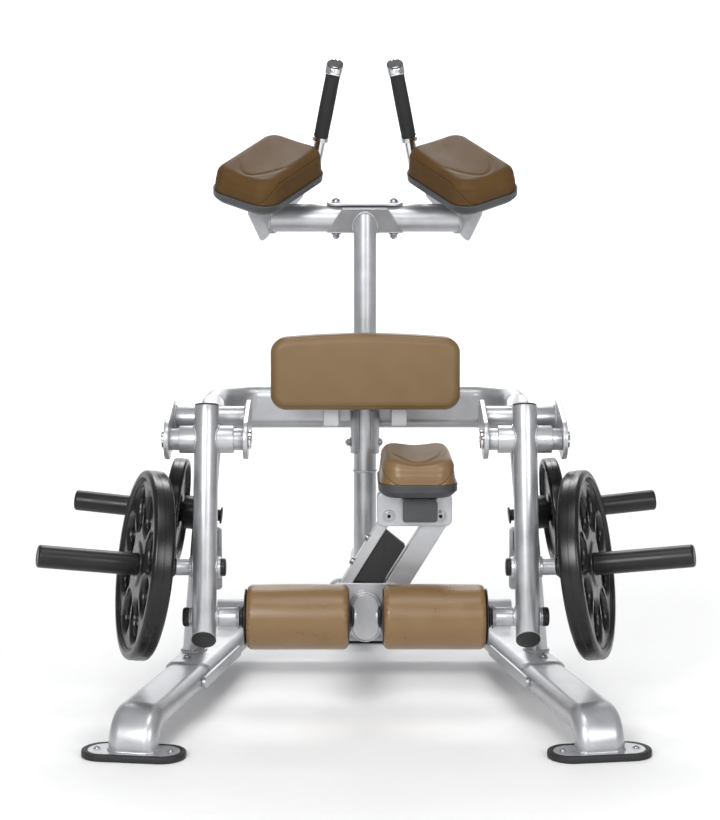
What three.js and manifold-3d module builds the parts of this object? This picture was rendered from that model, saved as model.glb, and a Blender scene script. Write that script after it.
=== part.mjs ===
import * as THREE from 'three';
import { mergeVertices } from 'three/addons/utils/BufferGeometryUtils.js';
import Module from 'manifold-3d';

// Kneeling hamstring machine: frame, knee carriage, two leg arms with rollers, elbow pads, handles and plates.
// Millimetres, Z up, X across, Y away from the user side. Y is measured from the arm pivots until the end.

// Running clearances
const seat = 0.3;
const boreClear = 0.4;
const sideClear = 0.5;
const overrun = 4;
const weldBite = 2;

// Legs: flat oval tube lying flat, bent down to a foot plate
const legWide = 100;
const legThick = 50;
const legMidHeight = 70;
const legRearX = 300;
const legKneeX = 383;
const legKneeY = 35;
const legFootX = 455;
const legBowRadius = 900;
const legFootY = -304;
const legBendRadius = 50;
const footPlateLong = 184;
const footPlateDeep = 72;
const footPlateThick = 6;
const footRubberLong = 208;
const footRubberDeep = 92;
const footRubberHigh = 14;
const footRecess = 7;
const footTurnAngle = 8;

// Rear cross beam under the spine
const crossBeamHalf = 350;
const crossBeamY = 458;
const crossBeamThick = 50;
const crossBeamTall = 100;
const crossBeamBottom = 45;

// Spine beam, bent down to the rear foot
const spineWide = 66;
const spineTall = 110;
const spineNearY = 30;
const spineBendY = 590;
const spineBendRadius = 95;
const spineWall = 5;
const spineCapDepth = 16;
const spineCapFace = 8;
const rearPlateLong = 150;
const rearPlateDeep = 130;
const rearRubberMargin = 8;

// Mast and its top cut
const tubeRadius = 25.4;
const mastY = 264;
const mastPeakRise = 11.5;
const mastTopAngle = 49.7;

// Yoke beam behind the mast, its saddle plates and bolt
const yokeTall = 98;
const yokeThick = 50;
const yokeRise = 3;
const yokeEndX = 330;
const yokeBendRadius = 90;
const yokePlateInner = 27;
const yokePlateThick = 6;
const yokePlateDown = 100;
const yokePlateStep = 2;
const yokePlateNear = 26;
const yokeBoltUp = 24;
const boltRadius = 5;
const boltHeadRadius = 9;
const boltHeadHigh = 6;

// Arm pivots and their plates
const armX = 334.5;
const pivotHeight = 585;
const clevisClear = 155;
const clevisThick = 10;
const clevisPivotRadius = 42;
const clevisTubeRadius = 39;
const crossTubeY = 105;
const crossTubeRise = 34;
const shaftRadius = 10;
const shaftCapRadius = 20;
const shaftCapThick = 8;

// Side posts, leg saddles and stops
const postRadius = 24.5;
const postFootX = 378;
const postFootY = 145;
const postTopX = 332;
const saddleThick = 5;
const saddleNearY = 38;
const saddleFarY = 265;
const saddleBoltY = 78;
const saddleLip = 14;
const saddleBoltDeep = 15;
const saddleBoltOut = 12;
const stopWide = 60;
const stopX = 335;
const stopWebX = 350;
const stopWebInset = 12;
const stopTopDown = 189;
const stopTall = 134;
const stopFaceY = 12;
const stopThick = 8;
const stopWeb = 10;
const bumperWide = 46;
const bumperTopDown = 197;
const bumperTall = 40;

// Plate storage horns and their plates
const storageRadius = 22;
const storageStubRadius = 12.5;
const storageCapRadius = 18;
const storageCapThick = 4;
const storageCapX = 312;
const storageDown = 178;
const storageTiltAngle = 6;
const storageAwayAngle = 1.2;
const storageTipX = 633;
const storageCollarX = 368;
const storageCollarLong = 28;
const storageCollarRadius = 36;
const storagePlateRadius = 115;
const storagePlateThick = 32;
const hornRound = 6;

// Crossbar, mast saddle, clamp plate
const crossbarRadius = 31.75;
const crossbarHalf = 200;
const crossbarBehind = 26;
const crossbarHeight = 1051.5;
const mastSaddleTopHalf = 49.5;
const mastSaddleBottomHalf = 85;
const mastSaddleThick = 5;
const mastSaddleUp = 10;
const mastSaddleDown = 58;
const mastSaddleBackY = 318;
const clampWide = 171;
const clampDeep = 50;
const clampThick = 5;
const clampTiltAngle = 12;
const clampBoltX = 65;
const nutRadius = 9;
const nutHigh = 9;

// Elbow pads, trays and gussets
const padWide = 160;
const padLong = 246;
const padHigh = 58;
const padCorner = 43;
const padRound = 24;
const padSeam = 16;
const padDip = 8;
const padSeamDepth = 2.5;
const trayDeep = 27;
const trayInset = 3;
const trayFlare = 24;
const trayRim = 15;
const elbowX = 212;
const elbowNear = 90;
const elbowRise = 82;
const elbowToeAngle = 33;
const elbowPitchAngle = 21.5;
const elbowRollAngle = 18;
const gussetThick = 6;
const gussetCorner = 8;
const gussetNearDown = 30;
const gussetFarDown = 75;
const gussetFarStep = 40;
const gussetNear = 66;
const gussetFar = 165;
const gussetTipAlong = -5;
const gussetTipDown = 120;

// Handles
const handleTubeRadius = 12.7;
const handleFootX = 117.5;
const handleFootBack = 42.4;
const handleFootRise = 93.8;
const handleLeanInAngle = 11.6;
const handleLeanNearAngle = 14.4;
const handleSocketRadius = 16;
const handleSocketLong = 22;
const collarRadius = 19;
const collarLong = 10;
const gripRadius = 16.5;
const gripLong = 144;
const capRadius = 19;
const collarUp = 83.5;
const capLong = 33.2;
const capDepth = 14;
const capSlantAngle = 30;
const socketLinkRadius = 9;

// Thigh pad and its board
const thighWide = 411;
const thighTall = 161;
const thighDeep = 60;
const thighFrontY = 110;
const thighRise = 15;
const thighCorner = 32;
const boardThick = 12;
const boardMargin = 14;
const bracketX = 75;
const bracketWide = 34;
const bracketDeep = 30;
const bracketDrop = 42;
const bracketFootTall = 56;
const bracketReach = 116;

// Knee base on the near end of the spine
const kneeBaseHalf = 80;
const kneeBaseOver = 14.7;
const kneeBaseTall = 65;
const kneeBaseCorner = 25;
const kneeFrontY = 40;
const kneePlateThick = 8;
const kneeRearY = 100;
const kneePinRadius = 8;
const kneePinHeadRadius = 11;
const kneePinHeadHigh = 5;
const lowerPivotX = 55;
const lowerPivotDown = 25;

// Knee links, bumper and carriage
const upperLeftX = 50;
const upperRightX = 160;
const upperPivotRise = 170;
const leftLinkWide = 21;
const rightLinkWide = 46.5;
const linkEyeRadius = 15;
const openPivotClear = 1;
const kneeBumperStart = 36;
const kneeBumperEnd = 168;
const kneeBumperDeep = 55;
const kneeBumperSlant = 14;
const kneeBumperWide = 34;
const carriageLeft = 25;
const carriageRight = 185;
const carriageDrop = 22;
const carriageOver = 50;
const carriageCorner = 14;
const carriageTubeWide = 77;
const carriageTubeTall = 50;
const carriageTubeMidX = 115;
const carriageTubeUp = 13.5;
const carriageTubeNearY = 4;
const carriageTubeWall = 4;
const kneePadX = 109.5;
const kneePadY = 70;

// Leg arms
const armLeanAngle = 12.5;
const armTopLong = 68;
const armTopDome = 6;
const armEndBelow = 45;
const armAhead = 14;
const armMitreAngle = 30;
const armPlugLong = 4;
const armPlugDepth = 22;
const armPlugWall = 4;
const hubRadius = 29;
const hubHalf = 57;
const hubSpacerRadius = 23;

// Rollers on the arms
const rollerBelow = 102;
const rollerRadius = 66.75;
const rollerInner = 35;
const rollerOuter = 247;
const rollerRound = 12;
const rollerDiscRadius = 58;
const rollerDiscRound = 3;
const rollerDiscInner = 24;
const rollerDiscOuter = 261;
const rollerHubRadius = 22;
const spindleRadius = 12.5;
const rollerShaftRadius = 19.5;
const bossRadius = 19.5;
const bossInner = 304;
const bossOuter = 366;
const rollerCapThick = 13;

// Load horns and load plates
const loadLegClear = 33.8;
const stubRadius = 16.7;
const stubCapX = 291;
const stubCapLong = 10;
const stubCapRadius = 18.5;
const stubBossRadius = 22;
const stubBossInner = 301.5;
const stubBossOuter = 367;
const kinkX = 400;
const hornRadius = 23.3;
const hornForwardAngle = 17;
const hornUpAngle = 8;
const hornLong = 284;
const hornStart = 6;
const hornCollarRadius = 36;
const hornCollarStart = 30;
const hornCollarLong = 10;
const loadPlateRadius = 195.5;
const loadPlateThick = 44;
const loadPlateLip = 17;
const loadPlateWeb = 30;
const loadPlateHub = 46;
const loadPlateHoles = 8;
const loadHoleMid = 118;
const loadHoleDeep = 84;
const loadHoleWide = 68;
const plateBoreClear = 0.5;
const plateEdge = 5;
const storageLip = 12;
const storageWeb = 14;
const storageHub = 40;

// Surface fineness
const roundest = 32;
const fine = 16;
const coarse = 10;
const bendSteps = 5;
const ringSteps = 3;
const padSteps = 4;

// Shares of rounded rims, dishes and domes
const roundShare = 0.3;
const dishStartShare = 1.8;
const dishEndShare = 2.5;
const trayCurveShare = 0.4;
const trayBaseShare = 0.9;
const trayLipShare = 0.8;
const thighEdgeShare = 0.1;
const rimShare = 0.8;
const rimRiseShare = 0.7;
const domeTopShare = 0.45;
const holeRoundShare = 0.45;
const closeShare = 1e-6;

const X = new THREE.Vector3(1, 0, 0);
const Y = new THREE.Vector3(0, 1, 0);
const Z = new THREE.Vector3(0, 0, 1);
const point = (x, y, z) => new THREE.Vector3(x, y, z);
const turn = (degrees) => THREE.MathUtils.degToRad(degrees);
const mix = (from, to, share) => from + (to - from) * share;

const wasm = await Module();
wasm.setup();

// A closed body from a geometry, its points merged
function solid(geometry) {
  for (const extra of Object.keys(geometry.attributes).filter((key) => key !== 'position')) {
    geometry.deleteAttribute(extra);
  }
  const merged = mergeVertices(geometry);
  const vertProperties = new Float32Array(merged.attributes.position.array);
  const triVerts = new Uint32Array(merged.index.array);
  return new wasm.Manifold(new wasm.Mesh({ numProp: 3, vertProperties, triVerts }));
}

// A closed body through a row of equal rings, first and last ring closed by flat fans
function loft(rings) {
  const count = rings[0].length;
  const positions = rings.flat().flatMap((p) => [p.x, p.y, p.z]);
  const index = [];
  for (let r = 0; r + 1 < rings.length; r += 1) {
    for (let i = 0; i < count; i += 1) {
      const a = r * count + i;
      const b = r * count + (i + 1) % count;
      index.push(a, b, b + count, a, b + count, a + count);
    }
  }
  const close = (ring, base, flip) => {
    const middle = ring.reduce((sum, p) => sum.add(p), point(0, 0, 0)).divideScalar(count);
    const centre = positions.length / 3;
    positions.push(middle.x, middle.y, middle.z);
    for (let i = 0; i < count; i += 1) {
      const a = base + i;
      const b = base + (i + 1) % count;
      index.push(...(flip ? [centre, b, a] : [centre, a, b]));
    }
  };
  close(rings[0], 0, true);
  close(rings[rings.length - 1], (rings.length - 1) * count, false);
  const geometry = new THREE.BufferGeometry();
  geometry.setAttribute('position', new THREE.Float32BufferAttribute(positions, 3));
  geometry.setIndex(index);
  return solid(geometry);
}

// Outline points, counter-clockwise
function circleOutline(radius, count) {
  return Array.from({ length: count }, (_, i) => {
    const angle = (i / count) * 2 * Math.PI;
    return [radius * Math.cos(angle), radius * Math.sin(angle)];
  });
}

function roundedOutline(wide, tall, corner, steps) {
  const outline = [];
  const corners = [[1, 1, 0], [-1, 1, 1], [-1, -1, 2], [1, -1, 3]];
  for (const [sx, sy, quarter] of corners) {
    for (let i = 0; i <= steps; i += 1) {
      const angle = (quarter + i / steps) * Math.PI / 2;
      const x = sx * (wide / 2 - corner) + corner * Math.cos(angle);
      const y = sy * (tall / 2 - corner) + corner * Math.sin(angle);
      const last = outline[outline.length - 1];
      if (!last || Math.hypot(x - last[0], y - last[1]) > closeShare * wide) {
        outline.push([x, y]);
      }
    }
  }
  const [first, last] = [outline[0], outline[outline.length - 1]];
  if (Math.hypot(first[0] - last[0], first[1] - last[1]) <= closeShare * wide) {
    outline.pop();
  }
  return outline;
}

const ovalOutline = (wide, tall) => roundedOutline(wide, tall, Math.min(wide, tall) / 2, ringSteps);

// A tube or bar of one outline along a path of points; the outline's second axis starts near up
function sweep(outline, path, up) {
  let rise = up.clone();
  const rings = path.map((p, i) => {
    const before = path[Math.max(i - 1, 0)];
    const after = path[Math.min(i + 1, path.length - 1)];
    const along = after.clone().sub(p).normalize().add(p.clone().sub(before).normalize()).normalize();
    rise = rise.clone().addScaledVector(along, -rise.dot(along)).normalize();
    const side = rise.clone().cross(along);
    return outline.map(([u, w]) => p.clone().addScaledVector(side, u).addScaledVector(rise, w));
  });
  return loft(rings);
}

// The path with each inner corner rounded by an arc of its own radius
function rounded(points, radii) {
  const path = [points[0]];
  for (let i = 1; i + 1 < points.length; i += 1) {
    const radius = radii[i - 1];
    const back = points[i - 1].clone().sub(points[i]).normalize();
    const ahead = points[i + 1].clone().sub(points[i]).normalize();
    const half = back.angleTo(ahead) / 2;
    const middle = back.clone().add(ahead).normalize();
    const centre = points[i].clone().addScaledVector(middle, radius / Math.sin(half));
    const start = points[i].clone().addScaledVector(back, radius / Math.tan(half)).sub(centre);
    const axis = back.clone().cross(ahead).normalize().negate();
    const bend = Math.PI - 2 * half;
    const steps = Math.max(2, Math.ceil(bend / (Math.PI / 2) * bendSteps));
    for (let k = 0; k <= steps; k += 1) {
      path.push(start.clone().applyAxisAngle(axis, (k / steps) * bend).add(centre));
    }
  }
  path.push(points[points.length - 1]);
  return path;
}

// A round bar between two points
function rod(radius, from, to, count = coarse) {
  const up = Math.abs(to.clone().sub(from).normalize().dot(Z)) > Math.SQRT1_2 ? X : Z;
  return sweep(circleOutline(radius, count), [from, to], up);
}

// A turned body: profile rows are [distance along, radius], first and last rows close the end faces
function turned(profile, start, direction, count = fine) {
  const along = direction.clone().normalize();
  const near = Math.abs(along.dot(Z)) > Math.SQRT1_2 ? X : Z;
  const rise = near.clone().addScaledVector(along, -near.dot(along)).normalize();
  const side = rise.clone().cross(along);
  return loft(profile.map(([distance, radius]) => circleOutline(radius, count).map(([u, w]) => start.clone()
    .addScaledVector(along, distance).addScaledVector(side, u).addScaledVector(rise, w))));
}

// A block by its two opposite corners
function block(x0, x1, y0, y1, z0, z1) {
  const geometry = new THREE.BoxGeometry(Math.abs(x1 - x0), Math.abs(y1 - y0), Math.abs(z1 - z0));
  geometry.translate((x0 + x1) / 2, (y0 + y1) / 2, (z0 + z1) / 2);
  return solid(geometry);
}

// A plate: an outline pushed along a direction. Its own axes are given as three vectors.
function plate(outline, thick, origin, across, upward) {
  const normal = across.clone().cross(upward);
  const ring = (depth) => outline.map(([u, w]) => origin.clone()
    .addScaledVector(across, u).addScaledVector(upward, w).addScaledVector(normal, depth));
  return loft([ring(0), ring(thick)]);
}

const joined = (...bodies) => bodies.reduce((sum, body) => sum.add(body));
const cut = (body, ...tools) => tools.reduce((rest, tool) => rest.subtract(tool), body);

// The points and triangles of a body, mirrored to the left side when flip is set
function surfaceOf(body, flip) {
  const mesh = body.getMesh();
  const stride = mesh.numProp;
  const positions = [];
  for (let i = 0; i < mesh.vertProperties.length; i += stride) {
    const x = mesh.vertProperties[i];
    positions.push(flip ? -x : x, mesh.vertProperties[i + 1], mesh.vertProperties[i + 2]);
  }
  const index = Array.from(mesh.triVerts);
  if (flip) {
    for (let i = 0; i < index.length; i += 3) {
      [index[i], index[i + 1]] = [index[i + 1], index[i]];
    }
  }
  const geometry = new THREE.BufferGeometry();
  geometry.setAttribute('position', new THREE.Float32BufferAttribute(positions, 3));
  geometry.setIndex(index);
  return geometry;
}

// A body together with its mirror image on the left side
const withMirror = (body) => body.add(solid(surfaceOf(body, true)));

// The finished pieces, each with its own colour and surface
const group = new THREE.Group();
group.name = 'kneeling_hamstring_machine';
const finishes = {
  silver: [0xb2b3b6, 0.42, 0.75],
  black: [0x2a2a2b, 0.4, 0.3],
  plate: [0x1c1c1d, 0.25, 0.2],
  chrome: [0xd4d6d8, 0.12, 1],
  rubber: [0x303031, 0.8, 0],
  tray: [0x505153, 0.6, 0],
  vinyl: [0x8f7658, 0.5, 0],
};

function place(name, body, finish, flip) {
  const geometry = surfaceOf(body, flip);
  geometry.computeVertexNormals();
  const [color, roughness, metalness] = finishes[finish];
  const piece = new THREE.Mesh(geometry, new THREE.MeshStandardMaterial({ color, roughness, metalness }));
  piece.name = name;
  group.add(piece);
}

// Pieces of the right side, and the same mirrored on the left
function placePair(name, body, finish) {
  place(`${name}_right`, body, finish, false);
  place(`${name}_left`, body, finish, true);
}

// Legs with their foot plates
const footPlateBottom = footRecess + seat;
const legFoot = point(legFootX, legFootY, footPlateBottom + footPlateThick / 2);
const legPath = rounded([
  point(legRearX, crossBeamY, legMidHeight),
  point(legKneeX, legKneeY, legMidHeight),
  point(legFootX, legFootY, legMidHeight),
  legFoot,
], [legBowRadius, legBendRadius]);
const footAcross = point(Math.cos(turn(footTurnAngle)), Math.sin(turn(footTurnAngle)), 0);
const footAhead = point(-footAcross.y, footAcross.x, 0);
const footOutline = (long, deep) => roundedOutline(long, deep, deep / 2, ringSteps);
const footAt = (height) => point(legFootX, legFootY, height);
const footPlate = plate(footOutline(footPlateLong, footPlateDeep), footPlateThick,
  footAt(footPlateBottom), footAcross, footAhead);
const crossBeamFront = crossBeamY - crossBeamThick / 2;
const legBody = sweep(ovalOutline(legWide, legThick), legPath, Z);
const behindCrossBeam = block(0, legRearX + legWide * 2, crossBeamFront - seat, crossBeamY + legWide * 2,
  0, crossBeamTall * 2);

// Saddle bolt down through the top of each leg
const legShare = (saddleBoltY - crossBeamY) / (legKneeY - crossBeamY);
const legTop = legMidHeight + legThick / 2;
const saddleTop = seat + saddleThick + seat;
const boltSeat = point(mix(legRearX, legKneeX, legShare) + saddleBoltOut, saddleBoltY, legTop);
const saddleBolt = turned([
  [-saddleBoltDeep, boltRadius],
  [saddleTop, boltRadius],
  [saddleTop, boltHeadRadius],
  [saddleTop + boltHeadHigh / 2, boltHeadRadius],
  [saddleTop + boltHeadHigh, boltHeadRadius / 2],
], boltSeat, Z, coarse);
const saddleBoltBore = rod(boltRadius + boreClear, boltSeat.clone().addScaledVector(Z, -saddleBoltDeep - seat),
  boltSeat.clone().addScaledVector(Z, saddleTop + overrun));
placePair('leg', cut(joined(legBody, footPlate), behindCrossBeam, saddleBoltBore), 'silver');
placePair('saddle_bolt', saddleBolt, 'chrome');

// Foot rubbers with a recess for the foot plate
const recessMargin = seat * 2;
const footRubber = plate(footOutline(footRubberLong, footRubberDeep), footRubberHigh, footAt(0),
  footAcross, footAhead);
const footPocket = plate(footOutline(footPlateLong + recessMargin, footPlateDeep + recessMargin),
  footRubberHigh, footAt(footRecess), footAcross, footAhead);
placePair('foot_rubber', cut(footRubber, footPocket), 'rubber');

// Rear cross beam
const crossBeamMid = crossBeamBottom + crossBeamTall / 2;
place('rear_cross_beam', sweep(ovalOutline(crossBeamThick, crossBeamTall), [
  point(-crossBeamHalf, crossBeamY, crossBeamMid),
  point(crossBeamHalf, crossBeamY, crossBeamMid),
], Z), 'silver');

// Spine beam, its end cap and its rear foot
const spineBottom = crossBeamBottom + crossBeamTall + seat;
const spineMid = spineBottom + spineTall / 2;
const spineTop = spineBottom + spineTall;
const rearFootY = spineBendY + spineBendRadius;
const spinePath = rounded([
  point(0, spineNearY, spineMid),
  point(0, rearFootY, spineMid),
  point(0, rearFootY, footPlateBottom + footPlateThick / 2),
], [spineBendRadius]);
const rearOutline = (grow) => roundedOutline(rearPlateLong + grow, rearPlateDeep + grow,
  rearPlateDeep / 4, ringSteps);
const rearPlate = plate(rearOutline(0), footPlateThick, point(0, rearFootY, footPlateBottom), X, Y);
const spineInner = ovalOutline(spineWide - 2 * spineWall, spineTall - 2 * spineWall);
const capPocket = sweep(spineInner, [point(0, spineNearY - overrun, spineMid),
  point(0, spineNearY + spineCapDepth + seat, spineMid)], Z);
place('spine_beam', cut(joined(sweep(ovalOutline(spineWide, spineTall), spinePath, Z), rearPlate), capPocket),
  'silver');
const capPlug = sweep(ovalOutline(spineWide - 2 * spineWall - 2 * seat, spineTall - 2 * spineWall - 2 * seat),
  [point(0, spineNearY - spineCapFace / 2, spineMid), point(0, spineNearY + spineCapDepth, spineMid)], Z);
const capFace = sweep(ovalOutline(spineWide, spineTall),
  [point(0, spineNearY - spineCapFace, spineMid), point(0, spineNearY - seat, spineMid)], Z);
place('spine_end_cap', joined(capPlug, capFace), 'silver');
const rearRubber = plate(rearOutline(2 * rearRubberMargin), footRubberHigh, point(0, rearFootY, 0), X, Y);
const rearPocket = plate(rearOutline(recessMargin), footRubberHigh, point(0, rearFootY, footRecess), X, Y);
place('rear_foot_rubber', cut(rearRubber, rearPocket), 'rubber');

// Mast, standing coped on the spine, its top cut on a slope
const mastBottom = point(0, mastY, spineMid);
const mastPeak = point(0, mastY - tubeRadius, crossbarHeight + mastPeakRise);
const slopeDown = point(0, Math.cos(turn(mastTopAngle)), -Math.sin(turn(mastTopAngle)));
const slopeIn = X.clone().cross(slopeDown);
const aboveSlope = (gap) => plate(roundedOutline(crossbarHalf, crossbarHalf, tubeRadius, 1), crossbarHalf,
  mastPeak.clone().addScaledVector(slopeIn, gap), X, slopeDown);
const crossTubeHeight = pivotHeight + crossTubeRise;
const yokeMidHeight = crossTubeHeight + yokeRise;
const yokePlateBottom = yokeMidHeight - yokePlateDown;
const yokeBoltHeight = yokePlateBottom + yokeBoltUp;
const mastRod = (radius) => rod(radius, mastBottom, point(0, mastY, crossbarHeight + tubeRadius), fine);
const spineGrown = sweep(ovalOutline(spineWide + 2 * seat, spineTall + 2 * seat),
  [point(0, mastY - spineTall, spineMid), point(0, mastY + spineTall, spineMid)], Z);
const yokeBoltBore = rod(boltRadius + boreClear, point(-yokeEndX, mastY, yokeBoltHeight),
  point(yokeEndX, mastY, yokeBoltHeight));
place('mast', cut(mastRod(tubeRadius), spineGrown, aboveSlope(0), yokeBoltBore), 'silver');

// Cross tubes, posts and pivot plates of the right side
const clevisInner = armX - clevisClear / 2;
const clevisOuter = armX + clevisClear / 2;
const crossTubeFrom = point(clevisInner - clevisThick, crossTubeY, crossTubeHeight);
const crossTubeTo = point(clevisOuter + clevisThick, crossTubeY, crossTubeHeight);
const postFoot = point(postFootX, postFootY, legTop + seat + saddleThick / 2);
const postHead = point(postTopX, crossTubeY, crossTubeHeight);
const postAt = (height) => postFoot.clone().lerp(postHead, (height - postFoot.z) / (postHead.z - postFoot.z));

// Pivot plate outline: two rounds joined by their outer tangents, in the (Y, Z) plane
function clevisOutline() {
  const spread = Math.hypot(crossTubeY, crossTubeHeight - pivotHeight);
  const rise = Math.atan2(crossTubeHeight - pivotHeight, crossTubeY);
  const tangent = Math.acos((clevisPivotRadius - clevisTubeRadius) / spread);
  const arc = (y, z, radius, from, to) => Array.from({ length: fine / 2 + 1 }, (_, i) => {
    const angle = mix(from, to, i / (fine / 2));
    return [y + radius * Math.cos(angle), z + radius * Math.sin(angle)];
  });
  return [
    ...arc(crossTubeY, crossTubeHeight, clevisTubeRadius, rise - tangent, rise + tangent),
    ...arc(0, pivotHeight, clevisPivotRadius, rise + tangent, rise - tangent + 2 * Math.PI),
  ];
}
const clevisPlate = (x) => plate(clevisOutline(), clevisThick, point(x, 0, 0), Y, Z);
const shaftBore = rod(shaftRadius + boreClear, point(clevisInner - clevisThick - overrun, 0, pivotHeight),
  point(clevisOuter + clevisThick + overrun, 0, pivotHeight), fine);

// Saddle over the leg: a bent plate hugging the top and both shoulders
const saddleFrom = point(mix(legRearX, legKneeX, (saddleFarY - crossBeamY) / (legKneeY - crossBeamY)),
  saddleFarY, legMidHeight);
const saddleTo = point(legKneeX, legKneeY, legMidHeight);
const legSleeve = (grow) => sweep(ovalOutline(legWide + 2 * grow, legThick + 2 * grow),
  [saddleFrom, saddleTo], Z);
const legLevel = [saddleFrom.clone().lerp(saddleTo, -1), ...legPath.slice(1, -bendSteps - 2)];
const saddleInnerCut = sweep(ovalOutline(legWide + 2 * seat, legThick + 2 * seat), legLevel, Z);
const underSaddle = block(0, legFootX, saddleNearY - legWide, saddleFarY + legWide,
  legMidHeight - saddleLip, 0);
const saddle = cut(legSleeve(seat + saddleThick), saddleInnerCut, underSaddle);

// Stop plate in front of the post with its web
const stopTop = pivotHeight - stopTopDown;
const stopBottom = stopTop - stopTall;
const postStop = postAt(mix(stopBottom, stopTop, 1 / 2));
const stopPlate = block(stopX - stopWide / 2, stopX + stopWide / 2, stopFaceY, stopFaceY + stopThick,
  stopBottom, stopTop);
const stopWebBody = block(stopWebX - stopWeb / 2, stopWebX + stopWeb / 2, stopFaceY + stopThick / 2, postStop.y,
  stopBottom + stopWebInset, stopTop - stopWebInset);

// Storage horn line through the post
const hornMiddle = postAt(pivotHeight - storageDown);
const storageAlong = point(Math.cos(turn(storageTiltAngle)), Math.tan(turn(storageAwayAngle)),
  Math.sin(turn(storageTiltAngle))).normalize();
const storageAt = (x) => hornMiddle.clone().addScaledVector(storageAlong, (x - hornMiddle.x) / storageAlong.x);
const storageBore = rod(storageStubRadius + boreClear, storageAt(storageCapX), storageAt(storageCollarX), fine);
const storageFlat = rod(storageCollarRadius + overrun, storageAt(storageCollarX).addScaledVector(storageAlong,
  -seat), storageAt(storageTipX), fine);
const storageInnerFlat = rod(storageCapRadius + overrun, storageAt(storageCapX - storageCapRadius),
  storageAt(storageCapX + storageCapThick + seat), fine);

const sidePost = joined(
  rod(postRadius, postFoot, postHead, fine),
  rod(tubeRadius, crossTubeFrom, crossTubeTo, fine),
  clevisPlate(clevisInner - clevisThick),
  clevisPlate(clevisOuter),
  saddle, stopPlate, stopWebBody,
);
placePair('side_post', cut(sidePost, shaftBore, saddleInnerCut, saddleBoltBore, storageBore, storageFlat,
  storageInnerFlat), 'silver');

// Rubber bumper on the stop plate, its face leaning with the arm
const armDown = point(0, -Math.sin(turn(armLeanAngle)), -Math.cos(turn(armLeanAngle)));
const armPivot = point(armX, 0, pivotHeight);
const armAt = (distance) => armPivot.clone().addScaledVector(armDown, distance);
const tubeAt = (distance) => armAt(distance).addScaledVector(armDown.clone().cross(X), armAhead);
const armBackY = (height) => (pivotHeight - height) * -Math.tan(turn(armLeanAngle))
  + (tubeRadius + seat - armAhead) / Math.cos(turn(armLeanAngle));
const bumperTop = pivotHeight - bumperTopDown;
const bumperBottom = bumperTop - bumperTall;
const bumperOutline = [
  [armBackY(bumperBottom), bumperBottom],
  [stopFaceY - seat, bumperBottom],
  [stopFaceY - seat, bumperTop],
  [armBackY(bumperTop), bumperTop],
];
placePair('stop_bumper', plate(bumperOutline, bumperWide, point(stopX - bumperWide / 2, 0, 0), Y, Z), 'rubber');

// Storage horns
const storageLong = (x) => (x - storageCapX) / storageAlong.x;
placePair('storage_horn', turned([
  [0, storageCapRadius],
  [storageCapThick, storageCapRadius],
  [storageCapThick, storageStubRadius],
  [storageLong(storageCollarX), storageStubRadius],
  [storageLong(storageCollarX), storageCollarRadius],
  [storageLong(storageCollarX + storageCollarLong), storageCollarRadius],
  [storageLong(storageCollarX + storageCollarLong), storageRadius],
  [storageLong(storageTipX) - hornRound, storageRadius],
  [storageLong(storageTipX) - hornRound * roundShare, storageRadius - hornRound * roundShare],
  [storageLong(storageTipX), storageRadius - hornRound],
], storageAt(storageCapX), storageAlong), 'black');

// Yoke beam with its saddle plates, ends coped on the cross tubes
const yokeY = mastY + tubeRadius + seat + yokeThick / 2;
const yokeEndY = crossTubeY + tubeRadius / 2;
const yokeBar = sweep(ovalOutline(yokeThick, yokeTall), rounded([
  point(-yokeEndX, yokeEndY, yokeMidHeight),
  point(-yokeEndX, yokeY, yokeMidHeight),
  point(yokeEndX, yokeY, yokeMidHeight),
  point(yokeEndX, yokeEndY, yokeMidHeight),
], [yokeBendRadius, yokeBendRadius]), Z);
const flipped = (p) => point(-p.x, p.y, p.z);
const copes = [1, -1].flatMap((side) => {
  const at = (p) => (side > 0 ? p : flipped(p));
  return [
    rod(tubeRadius + seat, at(crossTubeFrom), at(crossTubeTo), fine),
    rod(postRadius + seat, at(postFoot), at(postHead), fine),
  ];
});
const yokePlate = (x) => block(x, x + yokePlateThick, mastY - yokePlateNear, yokeY,
  yokePlateBottom, yokeMidHeight - yokePlateStep);
const yokeFrontCut = rod(tubeRadius + seat, mastBottom, point(0, mastY, crossbarHeight), fine);
place('yoke_beam', cut(joined(yokeBar, yokePlate(yokePlateInner), yokePlate(-yokePlateInner - yokePlateThick)),
  ...copes, yokeFrontCut, yokeBoltBore), 'silver');
const yokeBoltFrom = yokePlateInner + yokePlateThick + seat;
place('yoke_bolt', turned([
  [0, boltRadius],
  [boltHeadHigh / 3, boltRadius],
  [boltHeadHigh / 3, boltHeadRadius],
  [boltHeadHigh / 3 + nutHigh, boltHeadRadius],
  [boltHeadHigh / 3 + nutHigh, boltRadius],
  [boltHeadHigh / 3 + nutHigh + 2 * yokeBoltFrom, boltRadius],
  [boltHeadHigh / 3 + nutHigh + 2 * yokeBoltFrom, boltHeadRadius],
  [boltHeadHigh + nutHigh + 2 * yokeBoltFrom, boltHeadRadius],
  [boltHeadHigh * 4 / 3 + nutHigh + 2 * yokeBoltFrom, boltHeadRadius / 2],
], point(-yokeBoltFrom - nutHigh - boltHeadHigh / 3, mastY, yokeBoltHeight), X, coarse), 'chrome');

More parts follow.
